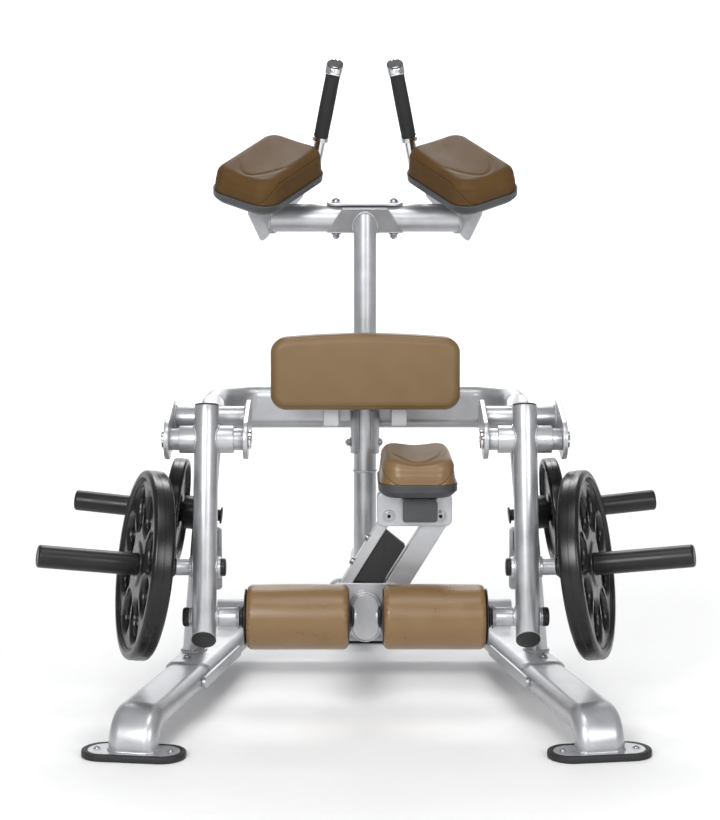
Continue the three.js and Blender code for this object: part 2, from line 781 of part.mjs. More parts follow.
// Cushions and trays: rows are [inset, height] from the bottom up, in a frame of across, ahead and up
function cushion(frame, wide, long, corner, rows) {
  const normal = frame.across.clone().cross(frame.ahead);
  return loft(rows.map(([inset, height]) => roundedOutline(wide - 2 * inset, long - 2 * inset,
    Math.max(corner - inset, corner / 3), padSteps).map(([u, w]) => frame.origin.clone()
    .addScaledVector(frame.across, u).addScaledVector(frame.ahead, w).addScaledVector(normal, height))));
}
const padRows = [
  [padRound / 4, seat],
  [0, padRound / 4],
  [0, padSeam - padSeamDepth],
  [padSeamDepth, padSeam],
  [0, padSeam + padSeamDepth],
  [0, padHigh - padRound],
  [padRound * roundShare, padHigh - padRound * roundShare],
  [padRound, padHigh],
  [padRound * dishStartShare, padHigh - padDip * roundShare],
  [padRound * dishEndShare, padHigh - padDip],
];
const trayRows = [
  [trayFlare, -trayDeep],
  [trayFlare * trayCurveShare, -trayDeep * trayBaseShare],
  [0, -trayRim],
  [-trayInset, -trayRim * trayLipShare],
  [-trayInset, 0],
];

const crossbarY = mastY + crossbarBehind;

// Elbow pad frame: near end outward and lower, outer edge higher
const farFlat = point(-Math.sin(turn(elbowToeAngle)), Math.cos(turn(elbowToeAngle)), 0);
const elbowFar = farFlat.clone().multiplyScalar(Math.cos(turn(elbowPitchAngle)))
  .addScaledVector(Z, Math.sin(turn(elbowPitchAngle)));
const outFlat = farFlat.clone().cross(Z);
const elbowOut = outFlat.clone().multiplyScalar(Math.cos(turn(elbowRollAngle)))
  .addScaledVector(outFlat.clone().cross(elbowFar), Math.sin(turn(elbowRollAngle)));
const elbowUp = elbowOut.clone().cross(elbowFar);
const elbowFrame = { origin: point(elbowX, crossbarY - elbowNear,
  crossbarHeight + elbowRise), across: elbowOut, ahead: elbowFar };
placePair('elbow_pad', cushion(elbowFrame, padWide, padLong, padCorner, padRows), 'vinyl');
placePair('elbow_tray', cushion(elbowFrame, padWide, padLong, padCorner, trayRows), 'tray');

// Crossbar with the mast saddle, an end gusset and a handle socket on each side
const barAxis = point(0, crossbarY, crossbarHeight);
const barEnd = point(crossbarHalf, crossbarY, crossbarHeight);
const gussetSide = barEnd.clone().sub(elbowFrame.origin).dot(elbowOut);
const gussetOrigin = elbowFrame.origin.clone().addScaledVector(elbowOut, gussetSide - gussetThick / 2)
  .addScaledVector(elbowUp, -trayDeep - seat);
const gussetOutline = [
  [-gussetNear, 0],
  [-gussetNear - gussetCorner / 2, -gussetNearDown],
  [gussetTipAlong - gussetCorner, -gussetTipDown],
  [gussetTipAlong + gussetCorner, -gussetTipDown],
  [gussetFar - gussetCorner, -gussetFarDown],
  [gussetFar, -gussetFarStep],
  [padLong / 2, 0],
];
const gusset = plate(gussetOutline, gussetThick, gussetOrigin, elbowFar, elbowUp);
const handleFoot = point(handleFootX, crossbarY + handleFootBack, crossbarHeight + handleFootRise);
const handleAlong = point(-Math.tan(turn(handleLeanInAngle)), -Math.tan(turn(handleLeanNearAngle)), 1)
  .normalize();
const gripFrom = collarUp + collarLong + seat;
const handleLong = gripFrom + gripLong + seat + capLong;
const handleAt = (distance) => handleFoot.clone().addScaledVector(handleAlong, distance);
const socket = rod(handleSocketRadius, handleAt(-handleSocketLong / 2), handleAt(handleSocketLong / 2), fine);
const socketLink = rod(socketLinkRadius, gussetOrigin.clone().addScaledVector(elbowFar,
  gussetFar - gussetCorner * 2).addScaledVector(elbowUp, -(gussetFarStep + gussetFarDown) / 2)
  .addScaledVector(elbowOut, gussetThick / 2), handleFoot);
const socketBore = rod(handleTubeRadius + seat, handleAt(-handleSocketLong / 2 + seat * 4),
  handleAt(handleSocketLong), fine);
const saddleAt = (down) => mastPeak.clone().addScaledVector(slopeDown, down);
const saddleSheetEnd = saddleAt(mastSaddleDown);
const saddleSheet = plate([
  [-mastSaddleTopHalf, mastSaddleUp],
  [-mastSaddleBottomHalf, -mastSaddleDown],
  [mastSaddleBottomHalf, -mastSaddleDown],
  [mastSaddleTopHalf, mastSaddleUp],
], mastSaddleThick, mastPeak, X.clone().negate(), slopeDown.clone().negate());
const barBottom = crossbarHeight - crossbarRadius;
const saddleFloor = block(-mastSaddleBottomHalf, mastSaddleBottomHalf, saddleSheetEnd.y, mastSaddleBackY,
  barBottom + weldBite - mastSaddleThick, barBottom + weldBite);
const clampUp = point(0, -Math.sin(turn(clampTiltAngle)), Math.cos(turn(clampTiltAngle)));
const clampAhead = point(0, Math.cos(turn(clampTiltAngle)), Math.sin(turn(clampTiltAngle)));
const clampAt = (x, up) => barAxis.clone().addScaledVector(X, x).addScaledVector(clampUp, up);
const clampBore = (x) => rod(boltRadius + boreClear, clampAt(x, -crossbarRadius * 2), clampAt(x,
  crossbarRadius * 2));
const mastGrown = cut(mastRod(tubeRadius + seat), aboveSlope(seat));
const bar = rod(crossbarRadius, point(-crossbarHalf, crossbarY, crossbarHeight), barEnd, fine);
const barEnds = withMirror(joined(gusset, socket, socketLink));
const handleBores = withMirror(socketBore);
place('crossbar', cut(joined(bar, barEnds, saddleSheet, saddleFloor), handleBores, mastGrown,
  clampBore(-clampBoltX), clampBore(clampBoltX)), 'silver');

// Clamp plate on top of the bar, with its two bolts right through
const clampPlate = plate(roundedOutline(clampWide, clampDeep, clampThick * 2, 2), clampThick,
  clampAt(0, crossbarRadius + seat), X, clampAhead);
place('clamp_plate', cut(clampPlate, clampBore(-clampBoltX), clampBore(clampBoltX)), 'silver');
const clampUnder = crossbarRadius + mastSaddleThick + nutHigh + nutRadius * Math.sin(turn(clampTiltAngle));
const clampOver = crossbarRadius + clampThick + 2 * seat;
placePair('clamp_bolt', turned([
  [-clampUnder - nutHigh / 2, boltRadius],
  [-clampUnder, boltRadius],
  [-clampUnder, nutRadius],
  [-clampUnder + nutHigh, nutRadius],
  [-clampUnder + nutHigh, boltRadius],
  [clampOver, boltRadius],
  [clampOver, boltHeadRadius],
  [clampOver + boltHeadHigh / 3, boltHeadRadius],
  [clampOver + boltHeadHigh, boltHeadRadius / 2],
], clampAt(clampBoltX, 0), clampUp, coarse), 'chrome');

// Handles: tube with a collar, grip and end cap
placePair('handle_tube', turned([
  [-handleSocketLong / 2 + seat * 5, handleTubeRadius],
  [collarUp, handleTubeRadius],
  [collarUp, collarRadius],
  [collarUp + collarLong, collarRadius],
  [collarUp + collarLong, handleTubeRadius],
  [handleLong - capDepth, handleTubeRadius],
], handleFoot, handleAlong), 'chrome');
const handleBore = rod(handleTubeRadius + seat, handleAt(gripFrom - overrun),
  handleAt(handleLong - capDepth + seat), fine);
placePair('handle_grip', cut(rod(gripRadius, handleAt(gripFrom), handleAt(gripFrom + gripLong), fine),
  handleBore), 'rubber');
const capBody = rod(capRadius, handleAt(gripFrom + gripLong + seat), handleAt(handleLong), fine);
const capFrom = handleAt(handleLong);
const slantUp = handleAlong.clone().applyAxisAngle(X, turn(capSlantAngle));
const capSlantCut = plate(roundedOutline(capRadius * overrun, capRadius * overrun, capRadius, 1), capRadius * 2,
  capFrom.clone().addScaledVector(handleAlong, -capRadius * Math.tan(turn(capSlantAngle))), X,
  slantUp.clone().cross(X));
placePair('handle_cap', cut(capBody, handleBore, capSlantCut), 'chrome');

// Thigh pad, its board and brackets to the yoke
const thighBottom = crossTubeHeight + thighRise;
const bracketBottom = thighBottom - bracketDrop;
const thighFrame = {
  origin: point(0, thighFrontY + thighDeep, thighBottom + thighTall / 2),
  across: X,
  ahead: Z,
};
const thighRows = [
  [padRound / 4, 0],
  [0, padRound / 4],
  [0, thighDeep - padRound],
  [padRound * roundShare, thighDeep - padRound * roundShare],
  [padRound, thighDeep - padRound * thighEdgeShare],
  [padRound * 2, thighDeep],
];
place('thigh_pad', cushion(thighFrame, thighWide, thighTall, thighCorner, thighRows), 'vinyl');
const boardFront = thighFrontY + thighDeep + seat;
const board = plate(roundedOutline(thighWide - 2 * boardMargin, thighTall - 2 * boardMargin,
  thighCorner - boardMargin, ringSteps), boardThick,
point(0, boardFront + boardThick, thighFrame.origin.z), X, Z);
const yokeFront = yokeY - yokeThick / 2 - seat;
const bracket = joined(
  block(bracketX - bracketWide / 2, bracketX + bracketWide / 2, boardFront + boardThick / 2,
    boardFront + boardThick + bracketDeep, bracketBottom, thighBottom + bracketReach),
  block(bracketX - bracketWide / 2, bracketX + bracketWide / 2, boardFront + boardThick + bracketDeep / 2,
    yokeFront, bracketBottom, bracketBottom + bracketFootTall),
);
place('thigh_pad_board', joined(board, withMirror(bracket)), 'silver');

// Knee base: two plates over the spine joined by the two lower link pins
const kneeBaseTop = spineTop + kneeBaseOver;
const lowerPivotHeight = kneeBaseTop - lowerPivotDown;
const upperPivotHeight = lowerPivotHeight + upperPivotRise;
const carriageTop = upperPivotHeight + carriageOver;
const carriageBottom = upperPivotHeight - carriageDrop;
const carriageTubeBottom = carriageBottom + carriageTubeUp;
const kneeOutline = roundedOutline(2 * kneeBaseHalf, kneeBaseTall, kneeBaseCorner, ringSteps);
const kneePlate = (y) => plate(kneeOutline, kneePlateThick,
  point(0, y + kneePlateThick, kneeBaseTop - kneeBaseTall / 2), X, Z);
const kneePin = (x, z) => turned([
  [-kneePinHeadHigh, kneePinHeadRadius * rimShare],
  [-kneePinHeadHigh * rimRiseShare, kneePinHeadRadius],
  [0, kneePinHeadRadius],
  [0, kneePinRadius],
  [kneeRearY - kneeFrontY - weldBite, kneePinRadius],
], point(x, kneeFrontY, z), Y);
const spineNearGrown = sweep(ovalOutline(spineWide + 2 * seat, spineTall + 2 * seat),
  [point(0, spineNearY - overrun, spineMid), point(0, kneeRearY + overrun, spineMid)], Z);
place('knee_base', cut(joined(
  kneePlate(kneeFrontY),
  kneePlate(kneeRearY - kneePlateThick),
  kneePin(-lowerPivotX, lowerPivotHeight),
  kneePin(lowerPivotX, lowerPivotHeight),
), spineNearGrown), 'silver');

// Knee links, turning on the pins of the base and of the carriage
const linkNear = kneeFrontY + kneePlateThick + sideClear;
const linkFar = kneeRearY - kneePlateThick - sideClear;
const leftLower = point(-lowerPivotX, 0, lowerPivotHeight);
const leftUpper = point(upperLeftX, 0, upperPivotHeight);
const rightLower = point(lowerPivotX, 0, lowerPivotHeight);
const rightUpper = point(upperRightX, 0, upperPivotHeight);
const linkRise = leftUpper.clone().sub(leftLower).normalize();
const linkRight = Y.clone().cross(linkRise);
const atY = (p, y) => point(p.x, y, p.z);
function kneeLink(lower, upper, wide, eye, upperClear) {
  const bar = plate(roundedOutline(wide, lower.distanceTo(upper) + wide / 2, wide / 4, 1), linkFar - linkNear,
    atY(lower.clone().lerp(upper, 1 / 2), linkFar), linkRight, linkRise);
  return cut(joined(bar, rod(eye, atY(lower, linkNear), atY(lower, linkFar), fine),
    rod(eye, atY(upper, linkNear), atY(upper, linkFar), fine)),
  rod(kneePinRadius + boreClear, atY(lower, linkNear - overrun), atY(lower, linkFar + overrun), fine),
  rod(kneePinRadius + upperClear, atY(upper, linkNear - overrun), atY(upper, linkFar + overrun), fine));
}
place('knee_link_left', kneeLink(leftLower, leftUpper, leftLinkWide, linkEyeRadius, boreClear), 'silver');
place('knee_link_right', kneeLink(rightLower, rightUpper, rightLinkWide, rightLinkWide / 2, openPivotClear),
  'silver');

// Rubber bumper between the links, carried by the left link
const bumperEdge = leftLinkWide / 2 + seat;
const bumperFace = bumperEdge + kneeBumperDeep;
const kneeBumperPoint = (along, out) => [out, along];
place('knee_bumper', plate([
  kneeBumperPoint(kneeBumperStart, bumperEdge),
  kneeBumperPoint(kneeBumperStart + kneeBumperSlant * 2, bumperFace),
  kneeBumperPoint(kneeBumperEnd - kneeBumperSlant / 2, bumperFace),
  kneeBumperPoint(kneeBumperEnd, bumperEdge),
], kneeBumperWide, atY(leftLower, (linkNear + linkFar + kneeBumperWide) / 2), linkRight, linkRise), 'rubber');

// Knee carriage: two plates and a top, the end of its tube in front, and the two upper pins
const carriageMidX = (carriageLeft + carriageRight) / 2;
const carriagePlate = (y) => plate(roundedOutline(carriageRight - carriageLeft, carriageTop - carriageBottom,
  carriageCorner, ringSteps), kneePlateThick,
point(carriageMidX, y + kneePlateThick, (carriageTop + carriageBottom) / 2), X, Z);
const carriageDeck = block(carriageLeft + carriageCorner, carriageRight - carriageCorner, kneeFrontY + weldBite,
  kneeRearY - weldBite, carriageTop - kneePlateThick, carriageTop);
const tubeTop = carriageTubeBottom + carriageTubeTall;
const tubeLeft = carriageTubeMidX - carriageTubeWide / 2;
const tubeRight = carriageTubeMidX + carriageTubeWide / 2;
const carriageTube = cut(
  block(tubeLeft, tubeRight, carriageTubeNearY, kneeFrontY + weldBite, carriageTubeBottom, tubeTop),
  block(tubeLeft + carriageTubeWall, tubeRight - carriageTubeWall, carriageTubeNearY - overrun,
    kneeFrontY - weldBite, carriageTubeBottom + carriageTubeWall, tubeTop - carriageTubeWall),
);
place('knee_carriage', joined(
  carriagePlate(kneeFrontY),
  carriagePlate(kneeRearY - kneePlateThick),
  carriageDeck,
  carriageTube,
  kneePin(upperLeftX, upperPivotHeight),
  kneePin(upperRightX, upperPivotHeight),
), 'silver');
const kneeFrame = { origin: point(kneePadX, kneePadY, carriageTop + seat + trayDeep), across: X, ahead: Y };
place('knee_tray', cushion(kneeFrame, padWide, padLong, padCorner, trayRows), 'tray');
place('knee_pad', cushion(kneeFrame, padWide, padLong, padCorner, padRows), 'vinyl');

// Arms: leaning tube with a hub, bosses for the roller shaft and the load stub, and a mitred lower end
const alongX = (p, x) => point(x, p.y, p.z);
const loadDown = (pivotHeight - legTop - loadPlateRadius - loadLegClear) / Math.cos(turn(armLeanAngle));
const rollerDown = loadDown + rollerBelow;
const armBottomLong = rollerDown + armEndBelow;
const rollerAxis = armAt(rollerDown);
const loadAxis = armAt(loadDown);
const armEnd = tubeAt(armBottomLong);
const mitreOut = armDown.clone().applyAxisAngle(X, -turn(armMitreAngle));
const mitreUp = mitreOut.clone().cross(X);
const mitreSlab = (from, thick) => plate(roundedOutline(4 * tubeRadius, 4 * tubeRadius, tubeRadius, 1), thick,
  armEnd.clone().addScaledVector(mitreOut, from), X, mitreUp);
const armTube = turned([
  [-armTopLong - armTopDome, tubeRadius * domeTopShare],
  [-armTopLong - armTopDome * rimRiseShare, tubeRadius * rimShare],
  [-armTopLong, tubeRadius],
  [armBottomLong + 2 * tubeRadius, tubeRadius],
], tubeAt(0), armDown);
const armPocket = rod(tubeRadius - armPlugWall, tubeAt(armBottomLong - armPlugDepth),
  tubeAt(armBottomLong + 2 * tubeRadius), fine);
placePair('arm', cut(joined(
  armTube,
  rod(hubRadius, alongX(armPivot, armX - hubHalf), alongX(armPivot, armX + hubHalf), fine),
  rod(hubSpacerRadius, alongX(armPivot, clevisInner + sideClear),
    alongX(armPivot, clevisOuter - sideClear), fine),
  rod(bossRadius, alongX(rollerAxis, bossInner), alongX(rollerAxis, bossOuter), fine),
  rod(stubBossRadius, alongX(loadAxis, stubBossInner), alongX(loadAxis, stubBossOuter), fine),
),
shaftBore,
rod(spindleRadius + boreClear, alongX(rollerAxis, rollerOuter), alongX(rollerAxis, kinkX), fine),
rod(stubRadius + boreClear, alongX(loadAxis, rollerOuter), alongX(loadAxis, kinkX), fine),
mitreSlab(0, 4 * tubeRadius),
armPocket), 'silver');
const plugFace = rod(tubeRadius, tubeAt(rollerDown), tubeAt(armBottomLong + 2 * tubeRadius), fine)
  .intersect(mitreSlab(seat, armPlugLong));
const plugCore = cut(rod(tubeRadius - armPlugWall - seat, tubeAt(armBottomLong - armPlugDepth + seat),
  tubeAt(armBottomLong + tubeRadius), fine), mitreSlab(armPlugLong / 2, 4 * tubeRadius));
placePair('arm_end_plug', joined(plugFace, plugCore), 'rubber');

// Pivot shafts with their end caps
const shaftFrom = clevisInner - clevisThick - seat - shaftCapThick;
const shaftLong = clevisClear + 2 * clevisThick + 2 * seat + 2 * shaftCapThick;
placePair('pivot_shaft', turned([
  [0, shaftCapRadius * rimShare],
  [shaftCapThick * roundShare, shaftCapRadius],
  [shaftCapThick, shaftCapRadius],
  [shaftCapThick, shaftRadius],
  [shaftLong - shaftCapThick, shaftRadius],
  [shaftLong - shaftCapThick, shaftCapRadius],
  [shaftLong - shaftCapThick * roundShare, shaftCapRadius],
  [shaftLong, shaftCapRadius * rimShare],
], alongX(armPivot, shaftFrom), X), 'chrome');

// Roller shafts, cores and pads
const spindleStart = rollerInner + spindleRadius / 2;
const sleeveStart = rollerDiscOuter + sideClear;
placePair('roller_shaft', turned([
  [spindleStart, spindleRadius],
  [sleeveStart, spindleRadius],
  [sleeveStart, rollerShaftRadius],
  [bossInner - seat, rollerShaftRadius],
  [bossInner - seat, spindleRadius],
  [bossOuter + seat, spindleRadius],
  [bossOuter + seat, rollerShaftRadius],
  [bossOuter + seat + rollerCapThick - rollerDiscRound, rollerShaftRadius],
  [bossOuter + seat + rollerCapThick, rollerShaftRadius - rollerDiscRound],
], alongX(rollerAxis, 0), X), 'silver');
const coreBore = rod(spindleRadius + boreClear, alongX(rollerAxis, spindleStart - sideClear),
  alongX(rollerAxis, rollerDiscOuter + overrun), fine);
placePair('roller_core', cut(turned([
  [rollerDiscInner, rollerDiscRadius - rollerDiscRound],
  [rollerDiscInner + rollerDiscRound, rollerDiscRadius],
  [rollerInner - seat, rollerDiscRadius],
  [rollerInner - seat, rollerHubRadius],
  [rollerOuter + seat, rollerHubRadius],
  [rollerOuter + seat, rollerDiscRadius],
  [rollerDiscOuter - rollerDiscRound, rollerDiscRadius],
  [rollerDiscOuter, rollerDiscRadius - rollerDiscRound],
], alongX(rollerAxis, 0), X), coreBore), 'black');
const rollerBore = rod(rollerHubRadius + seat, alongX(rollerAxis, 0), alongX(rollerAxis, armX), fine);
placePair('roller_pad', cut(turned([
  [rollerInner, rollerRadius - rollerRound],
  [rollerInner + rollerRound * roundShare, rollerRadius - rollerRound * roundShare],
  [rollerInner + rollerRound, rollerRadius],
  [rollerOuter - rollerRound, rollerRadius],
  [rollerOuter - rollerRound * roundShare, rollerRadius - rollerRound * roundShare],
  [rollerOuter, rollerRadius - rollerRound],
], alongX(rollerAxis, 0), X), rollerBore), 'vinyl');

// Load horns: straight stub through the arm, then the horn kinked forward and up
const kink = alongX(loadAxis, kinkX);
const hornAlong = point(Math.cos(turn(hornForwardAngle)) * Math.cos(turn(hornUpAngle)),
  -Math.sin(turn(hornForwardAngle)) * Math.cos(turn(hornUpAngle)), Math.sin(turn(hornUpAngle)));
placePair('load_horn', joined(turned([
  [stubCapX, stubCapRadius],
  [stubCapX + stubCapLong, stubCapRadius],
  [stubCapX + stubCapLong, stubRadius],
  [kinkX + hornStart, stubRadius],
], alongX(loadAxis, 0), X), turned([
  [0, hornRadius - hornRound / 2],
  [hornRound / 2, hornRadius],
  [hornCollarStart, hornRadius],
  [hornCollarStart, hornCollarRadius],
  [hornCollarStart + hornCollarLong, hornCollarRadius],
  [hornCollarStart + hornCollarLong, hornRadius],
  [hornLong - hornRound, hornRadius],
  [hornLong - hornRound * roundShare, hornRadius - hornRound * roundShare],
  [hornLong, hornRadius - hornRound],
], kink, hornAlong)), 'black');

// Weight plates: rim, web and hub, the load plates with a ring of oval openings
function weightPlate(size, start, direction, sides) {
  const webFrom = (size.thick - size.web) / 2;
  const hubFrom = webFrom / 2;
  const slope = plateEdge;
  const inner = size.radius - size.lip;
  const half = [
    [hubFrom, size.hub],
    [webFrom, size.hub + slope],
    [webFrom, inner - slope],
    [0, inner],
    [0, size.radius - plateEdge],
    [plateEdge, size.radius],
  ];
  const other = half.map(([distance, radius]) => [size.thick - distance, radius]).reverse();
  return cut(turned([...half, ...other], start, direction, sides), rod(size.bore,
    start.clone().addScaledVector(direction, -overrun),
    start.clone().addScaledVector(direction, size.thick + overrun), fine));
}
const loadStart = kink.clone().addScaledVector(hornAlong, hornCollarStart + hornCollarLong + seat);
const loadSize = { radius: loadPlateRadius, thick: loadPlateThick, lip: loadPlateLip, web: loadPlateWeb,
  hub: loadPlateHub, bore: hornRadius + plateBoreClear };
const holeAcross = Z.clone().addScaledVector(hornAlong, -Z.dot(hornAlong)).normalize();
const holeTools = Array.from({ length: loadPlateHoles }, (_, i) => {
  const out = holeAcross.clone().applyAxisAngle(hornAlong, (i + 1 / 2) / loadPlateHoles * 2 * Math.PI);
  return plate(roundedOutline(loadHoleDeep, loadHoleWide, loadHoleWide * holeRoundShare, 2),
    loadPlateThick + 2 * overrun,
    loadStart.clone().addScaledVector(out, loadHoleMid).addScaledVector(hornAlong, -overrun),
    out, hornAlong.clone().cross(out));
});
placePair('load_plate', cut(weightPlate(loadSize, loadStart, hornAlong, roundest), ...holeTools), 'plate');
const storageSize = { radius: storagePlateRadius, thick: storagePlateThick, lip: storageLip, web: storageWeb,
  hub: storageHub, bore: storageRadius + plateBoreClear };
const storageStart = storageAt(storageCollarX + storageCollarLong).addScaledVector(storageAlong, seat);
placePair('storage_plate', weightPlate(storageSize, storageStart, storageAlong, fine), 'plate');

// The machine stands centred on its own origin, feet on the floor
const bounds = new THREE.Box3().setFromObject(group);
const middle = bounds.getCenter(new THREE.Vector3());
group.children.forEach((piece) => piece.geometry.translate(-middle.x, -middle.y, -bounds.min.z));
export default group;
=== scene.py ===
"""Kneeling hamstring machine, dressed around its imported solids."""
import math

import bpy
import numpy as np
from bpy.props import FloatProperty, FloatVectorProperty, PointerProperty
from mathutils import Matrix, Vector


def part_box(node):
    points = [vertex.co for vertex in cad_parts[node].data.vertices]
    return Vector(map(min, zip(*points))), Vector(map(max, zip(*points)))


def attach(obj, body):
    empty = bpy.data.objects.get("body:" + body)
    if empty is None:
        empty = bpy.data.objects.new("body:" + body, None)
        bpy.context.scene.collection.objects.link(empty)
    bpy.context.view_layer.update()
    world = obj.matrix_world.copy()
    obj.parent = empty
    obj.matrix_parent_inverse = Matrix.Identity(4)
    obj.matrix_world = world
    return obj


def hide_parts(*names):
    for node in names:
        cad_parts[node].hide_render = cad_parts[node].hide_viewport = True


bl_info = {
    "name": "Kneeling hamstring machine",
    "version": (1, 0, 0),
    "blender": (4, 5, 0),
    "location": "3D View > Sidebar > Machine",
    "description": "Builds the detailed pieces, finishes and stage of a kneeling hamstring machine",
    "category": "Add Mesh",
}

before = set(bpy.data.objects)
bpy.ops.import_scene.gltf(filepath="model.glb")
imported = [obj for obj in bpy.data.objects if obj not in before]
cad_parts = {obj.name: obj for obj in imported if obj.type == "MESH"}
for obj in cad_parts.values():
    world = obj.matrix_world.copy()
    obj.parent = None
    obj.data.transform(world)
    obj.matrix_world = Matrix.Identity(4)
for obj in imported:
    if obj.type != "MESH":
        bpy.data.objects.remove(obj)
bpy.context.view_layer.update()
SIDES = (("left", -1.0), ("right", 1.0))
X, Y, Z = np.eye(3)
ROUND, SMALL_ROUND, WHEEL_ROUND = 72, 32, 144
METRE = 1000.0
PIVOT_LOW, PIVOT_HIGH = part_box("pivot_shaft_right")
PIVOT_Y = (PIVOT_LOW[1] + PIVOT_HIGH[1]) / 2 * METRE


def at(x, y, z):
    """A point in millimetres, Y given from the plane of the arm pivots."""
    return np.array([x, y + PIVOT_Y, z], dtype=float)


def unit(vector):
    """The vector at length one."""
    vector = np.asarray(vector, dtype=float)
    return vector / np.linalg.norm(vector)


def units(vectors):
    """Each row or grid vector at length one."""
    return vectors / np.maximum(np.linalg.norm(vectors, axis=-1, keepdims=True), 1e-9)


def axes_of(direction):
    """A direction at length one, and two more square to it: its side, and its rise as near up as it can be."""
    along = unit(direction)
    near = X if abs(along @ Z) > 0.7 else Z
    rise = unit(near - along * (near @ along))
    return along, np.cross(rise, along), rise


def turned_about(vector, axis, angle):
    """Rodrigues' rotation of a vector about a unit axis."""
    return (vector * math.cos(angle) + np.cross(axis, vector) * math.sin(angle)
            + axis * (axis @ vector) * (1 - math.cos(angle)))


def quarter(count):
    """Equal angles over a quarter turn."""
    return np.linspace(0, math.pi / 2, count)


def fillet(along, across, deep, high, count=7):
    """Profile rows over a quarter turn: along + deep * sine, across + high * cosine."""
    return [(along + deep * math.sin(t), across + high * math.cos(t)) for t in quarter(count)]


def travelled(path):
    """The distance run along a path at each of its points."""
    return np.concatenate([[0], np.cumsum(np.linalg.norm(np.diff(path, axis=0), axis=1))])


# Outlines

def arc(angle, radius):
    """Points of a circle at the given angles: radius * (cosine, sine)."""
    return radius * np.stack([np.cos(angle), np.sin(angle)], axis=1)


def circle(radius, count=ROUND):
    """Points at equal angles all round a circle."""
    return arc(np.linspace(0, 2 * math.pi, count, endpoint=False), radius)


def round_box(wide, tall, corner, steps=8):
    """Quarter circles at four corners, joined by straight sides."""
    corners = []
    for number, sides in enumerate(((1, 1), (-1, 1), (-1, -1), (1, -1))):
        middle = np.array(sides) * (wide / 2 - corner, tall / 2 - corner)
        corners.append(middle + arc(quarter(steps + 1) + number * math.pi / 2, corner))
    points = np.concatenate(corners)
    return points[np.linalg.norm(points - np.roll(points, 1, axis=0), axis=1) > 1e-4]


def oval(wide, tall):
    """A flat oval: two half circles and two straight sides."""
    return round_box(wide, tall, min(wide, tall) / 2, 12)


def fine_outline(wide, tall, corner, count):
    """A rounded box with points at equal distances along it."""
    rough = round_box(wide, tall, corner, 24)
    closed = np.concatenate([rough, rough[:1]])
    run = travelled(closed)
    where = np.linspace(0, run[-1], count, endpoint=False)
    return np.stack([np.interp(where, run, column) for column in closed.T], axis=1)


def softened(outline, radius):
    """An outline with each corner replaced by a parabola from side to side."""
    share = np.linspace(0, 1, 7)[:, None]
    outline = np.array(outline, dtype=float)
    curves = []
    for before, corner, after in zip(np.roll(outline, 1, axis=0), outline, np.roll(outline, -1, axis=0)):
        back, ahead = unit(before - corner), unit(after - corner)
        half = math.acos(float(back @ ahead)) / 2
        reach = min(radius / math.tan(half), 0.4 * np.linalg.norm(before - corner),
                    0.4 * np.linalg.norm(after - corner))
        curves.append((1 - share) ** 2 * (corner + back * reach) + 2 * share * (1 - share) * corner
                      + share ** 2 * (corner + ahead * reach))
    return np.concatenate(curves)


def inset(outline, distance):
    """The outline moved inward: each point along the mean of its two edge normals."""
    ahead = units(np.roll(outline, -1, axis=0) - outline)
    both = ahead + np.roll(ahead, 1, axis=0)
    normal = units(np.stack([-both[:, 1], both[:, 0]], axis=1))
    own = np.stack([-ahead[:, 1], ahead[:, 0]], axis=1)
    lean = np.abs(np.sum(normal * own, axis=1, keepdims=True))
    return outline + normal * distance / np.maximum(lean, 0.5)


def laid(flat, origin, across, upward, lift=0.0):
    """Flat points on a plane in space: origin + first * across + second * upward + lift * normal."""
    lift = np.broadcast_to(lift, len(flat))[:, None]
    return origin + flat[:, :1] * across + flat[:, 1:] * upward + lift * np.cross(across, upward)


def ring_path(centre, axis, radius, count=180):
    """Points on a circle about an axis."""
    _, side, rise = axes_of(axis)
    return laid(circle(radius, count), centre, side, rise)


# Shapes: a pair of points and faces

def skin(rings, ends=True, around=True, along=False):
    """Quads between neighbouring rows of a grid, with the first and last row closed by one face each."""
    rings = np.asarray(rings)
    rows, count = rings.shape[:2]
    number = np.arange(rows * count).reshape(rows, count)
    if around:
        number = np.concatenate([number, number[:, :1]], axis=1)
    if along:
        number = np.concatenate([number, number[:1]], axis=0)
    quads = np.stack([number[:-1, :-1], number[:-1, 1:], number[1:, 1:], number[1:, :-1]], axis=-1)
    faces = quads.reshape(-1, 4).tolist()
    if ends:
        faces += [list(range(count))[::-1], list(range((rows - 1) * count, rows * count))]
    return rings.reshape(-1, 3), faces


def hoop(rings):
    """A skin closed both round its rings and from the last ring to the first."""
    return skin(rings, ends=False, along=True)


def together(*shapes):
    """Several shapes as one, their faces renumbered."""
    points, faces, base = [], [], 0
    for shape_points, shape_faces in shapes:
        points.append(shape_points)
        faces += [[index + base for index in face] for face in shape_faces]
        base += len(shape_points)
    return np.concatenate(points), faces


def mirrored(shape, side):
    """The shape reflected to the left side for side -1, its faces turned to stay outward."""
    points, faces = shape
    return (points * (side, 1.0, 1.0), [face[::-1] for face in faces]) if side < 0 else shape


def frames(path, up):
    """Side and rise directions carried along a path without twist."""
    ahead = units(np.diff(path, axis=0))
    along = units(np.concatenate([ahead[:1], ahead[1:] + ahead[:-1], ahead[-1:]]))
    rise, sides, rises = up, [], []
    for direction in along:
        rise = unit(rise - direction * (rise @ direction))
        sides.append(np.cross(rise, direction))
        rises.append(rise)
    return np.array(sides), np.array(rises)


def spread(outline, path, side, rise, sizes):
    """A ring at each path point: first * side + second * rise of the outline, times the point's size."""
    flat = outline[None, :, 0, None] * side[:, None] + outline[None, :, 1, None] * rise[:, None]
    return path[:, None] + np.asarray(sizes)[:, None, None] * flat


def carried(outline, path, up=Z, sizes=None):
    """A profile carried along a path without twist, each ring times its size."""
    path = np.asarray(path)
    return spread(outline, path, *frames(path, up), np.ones(len(path)) if sizes is None else sizes)


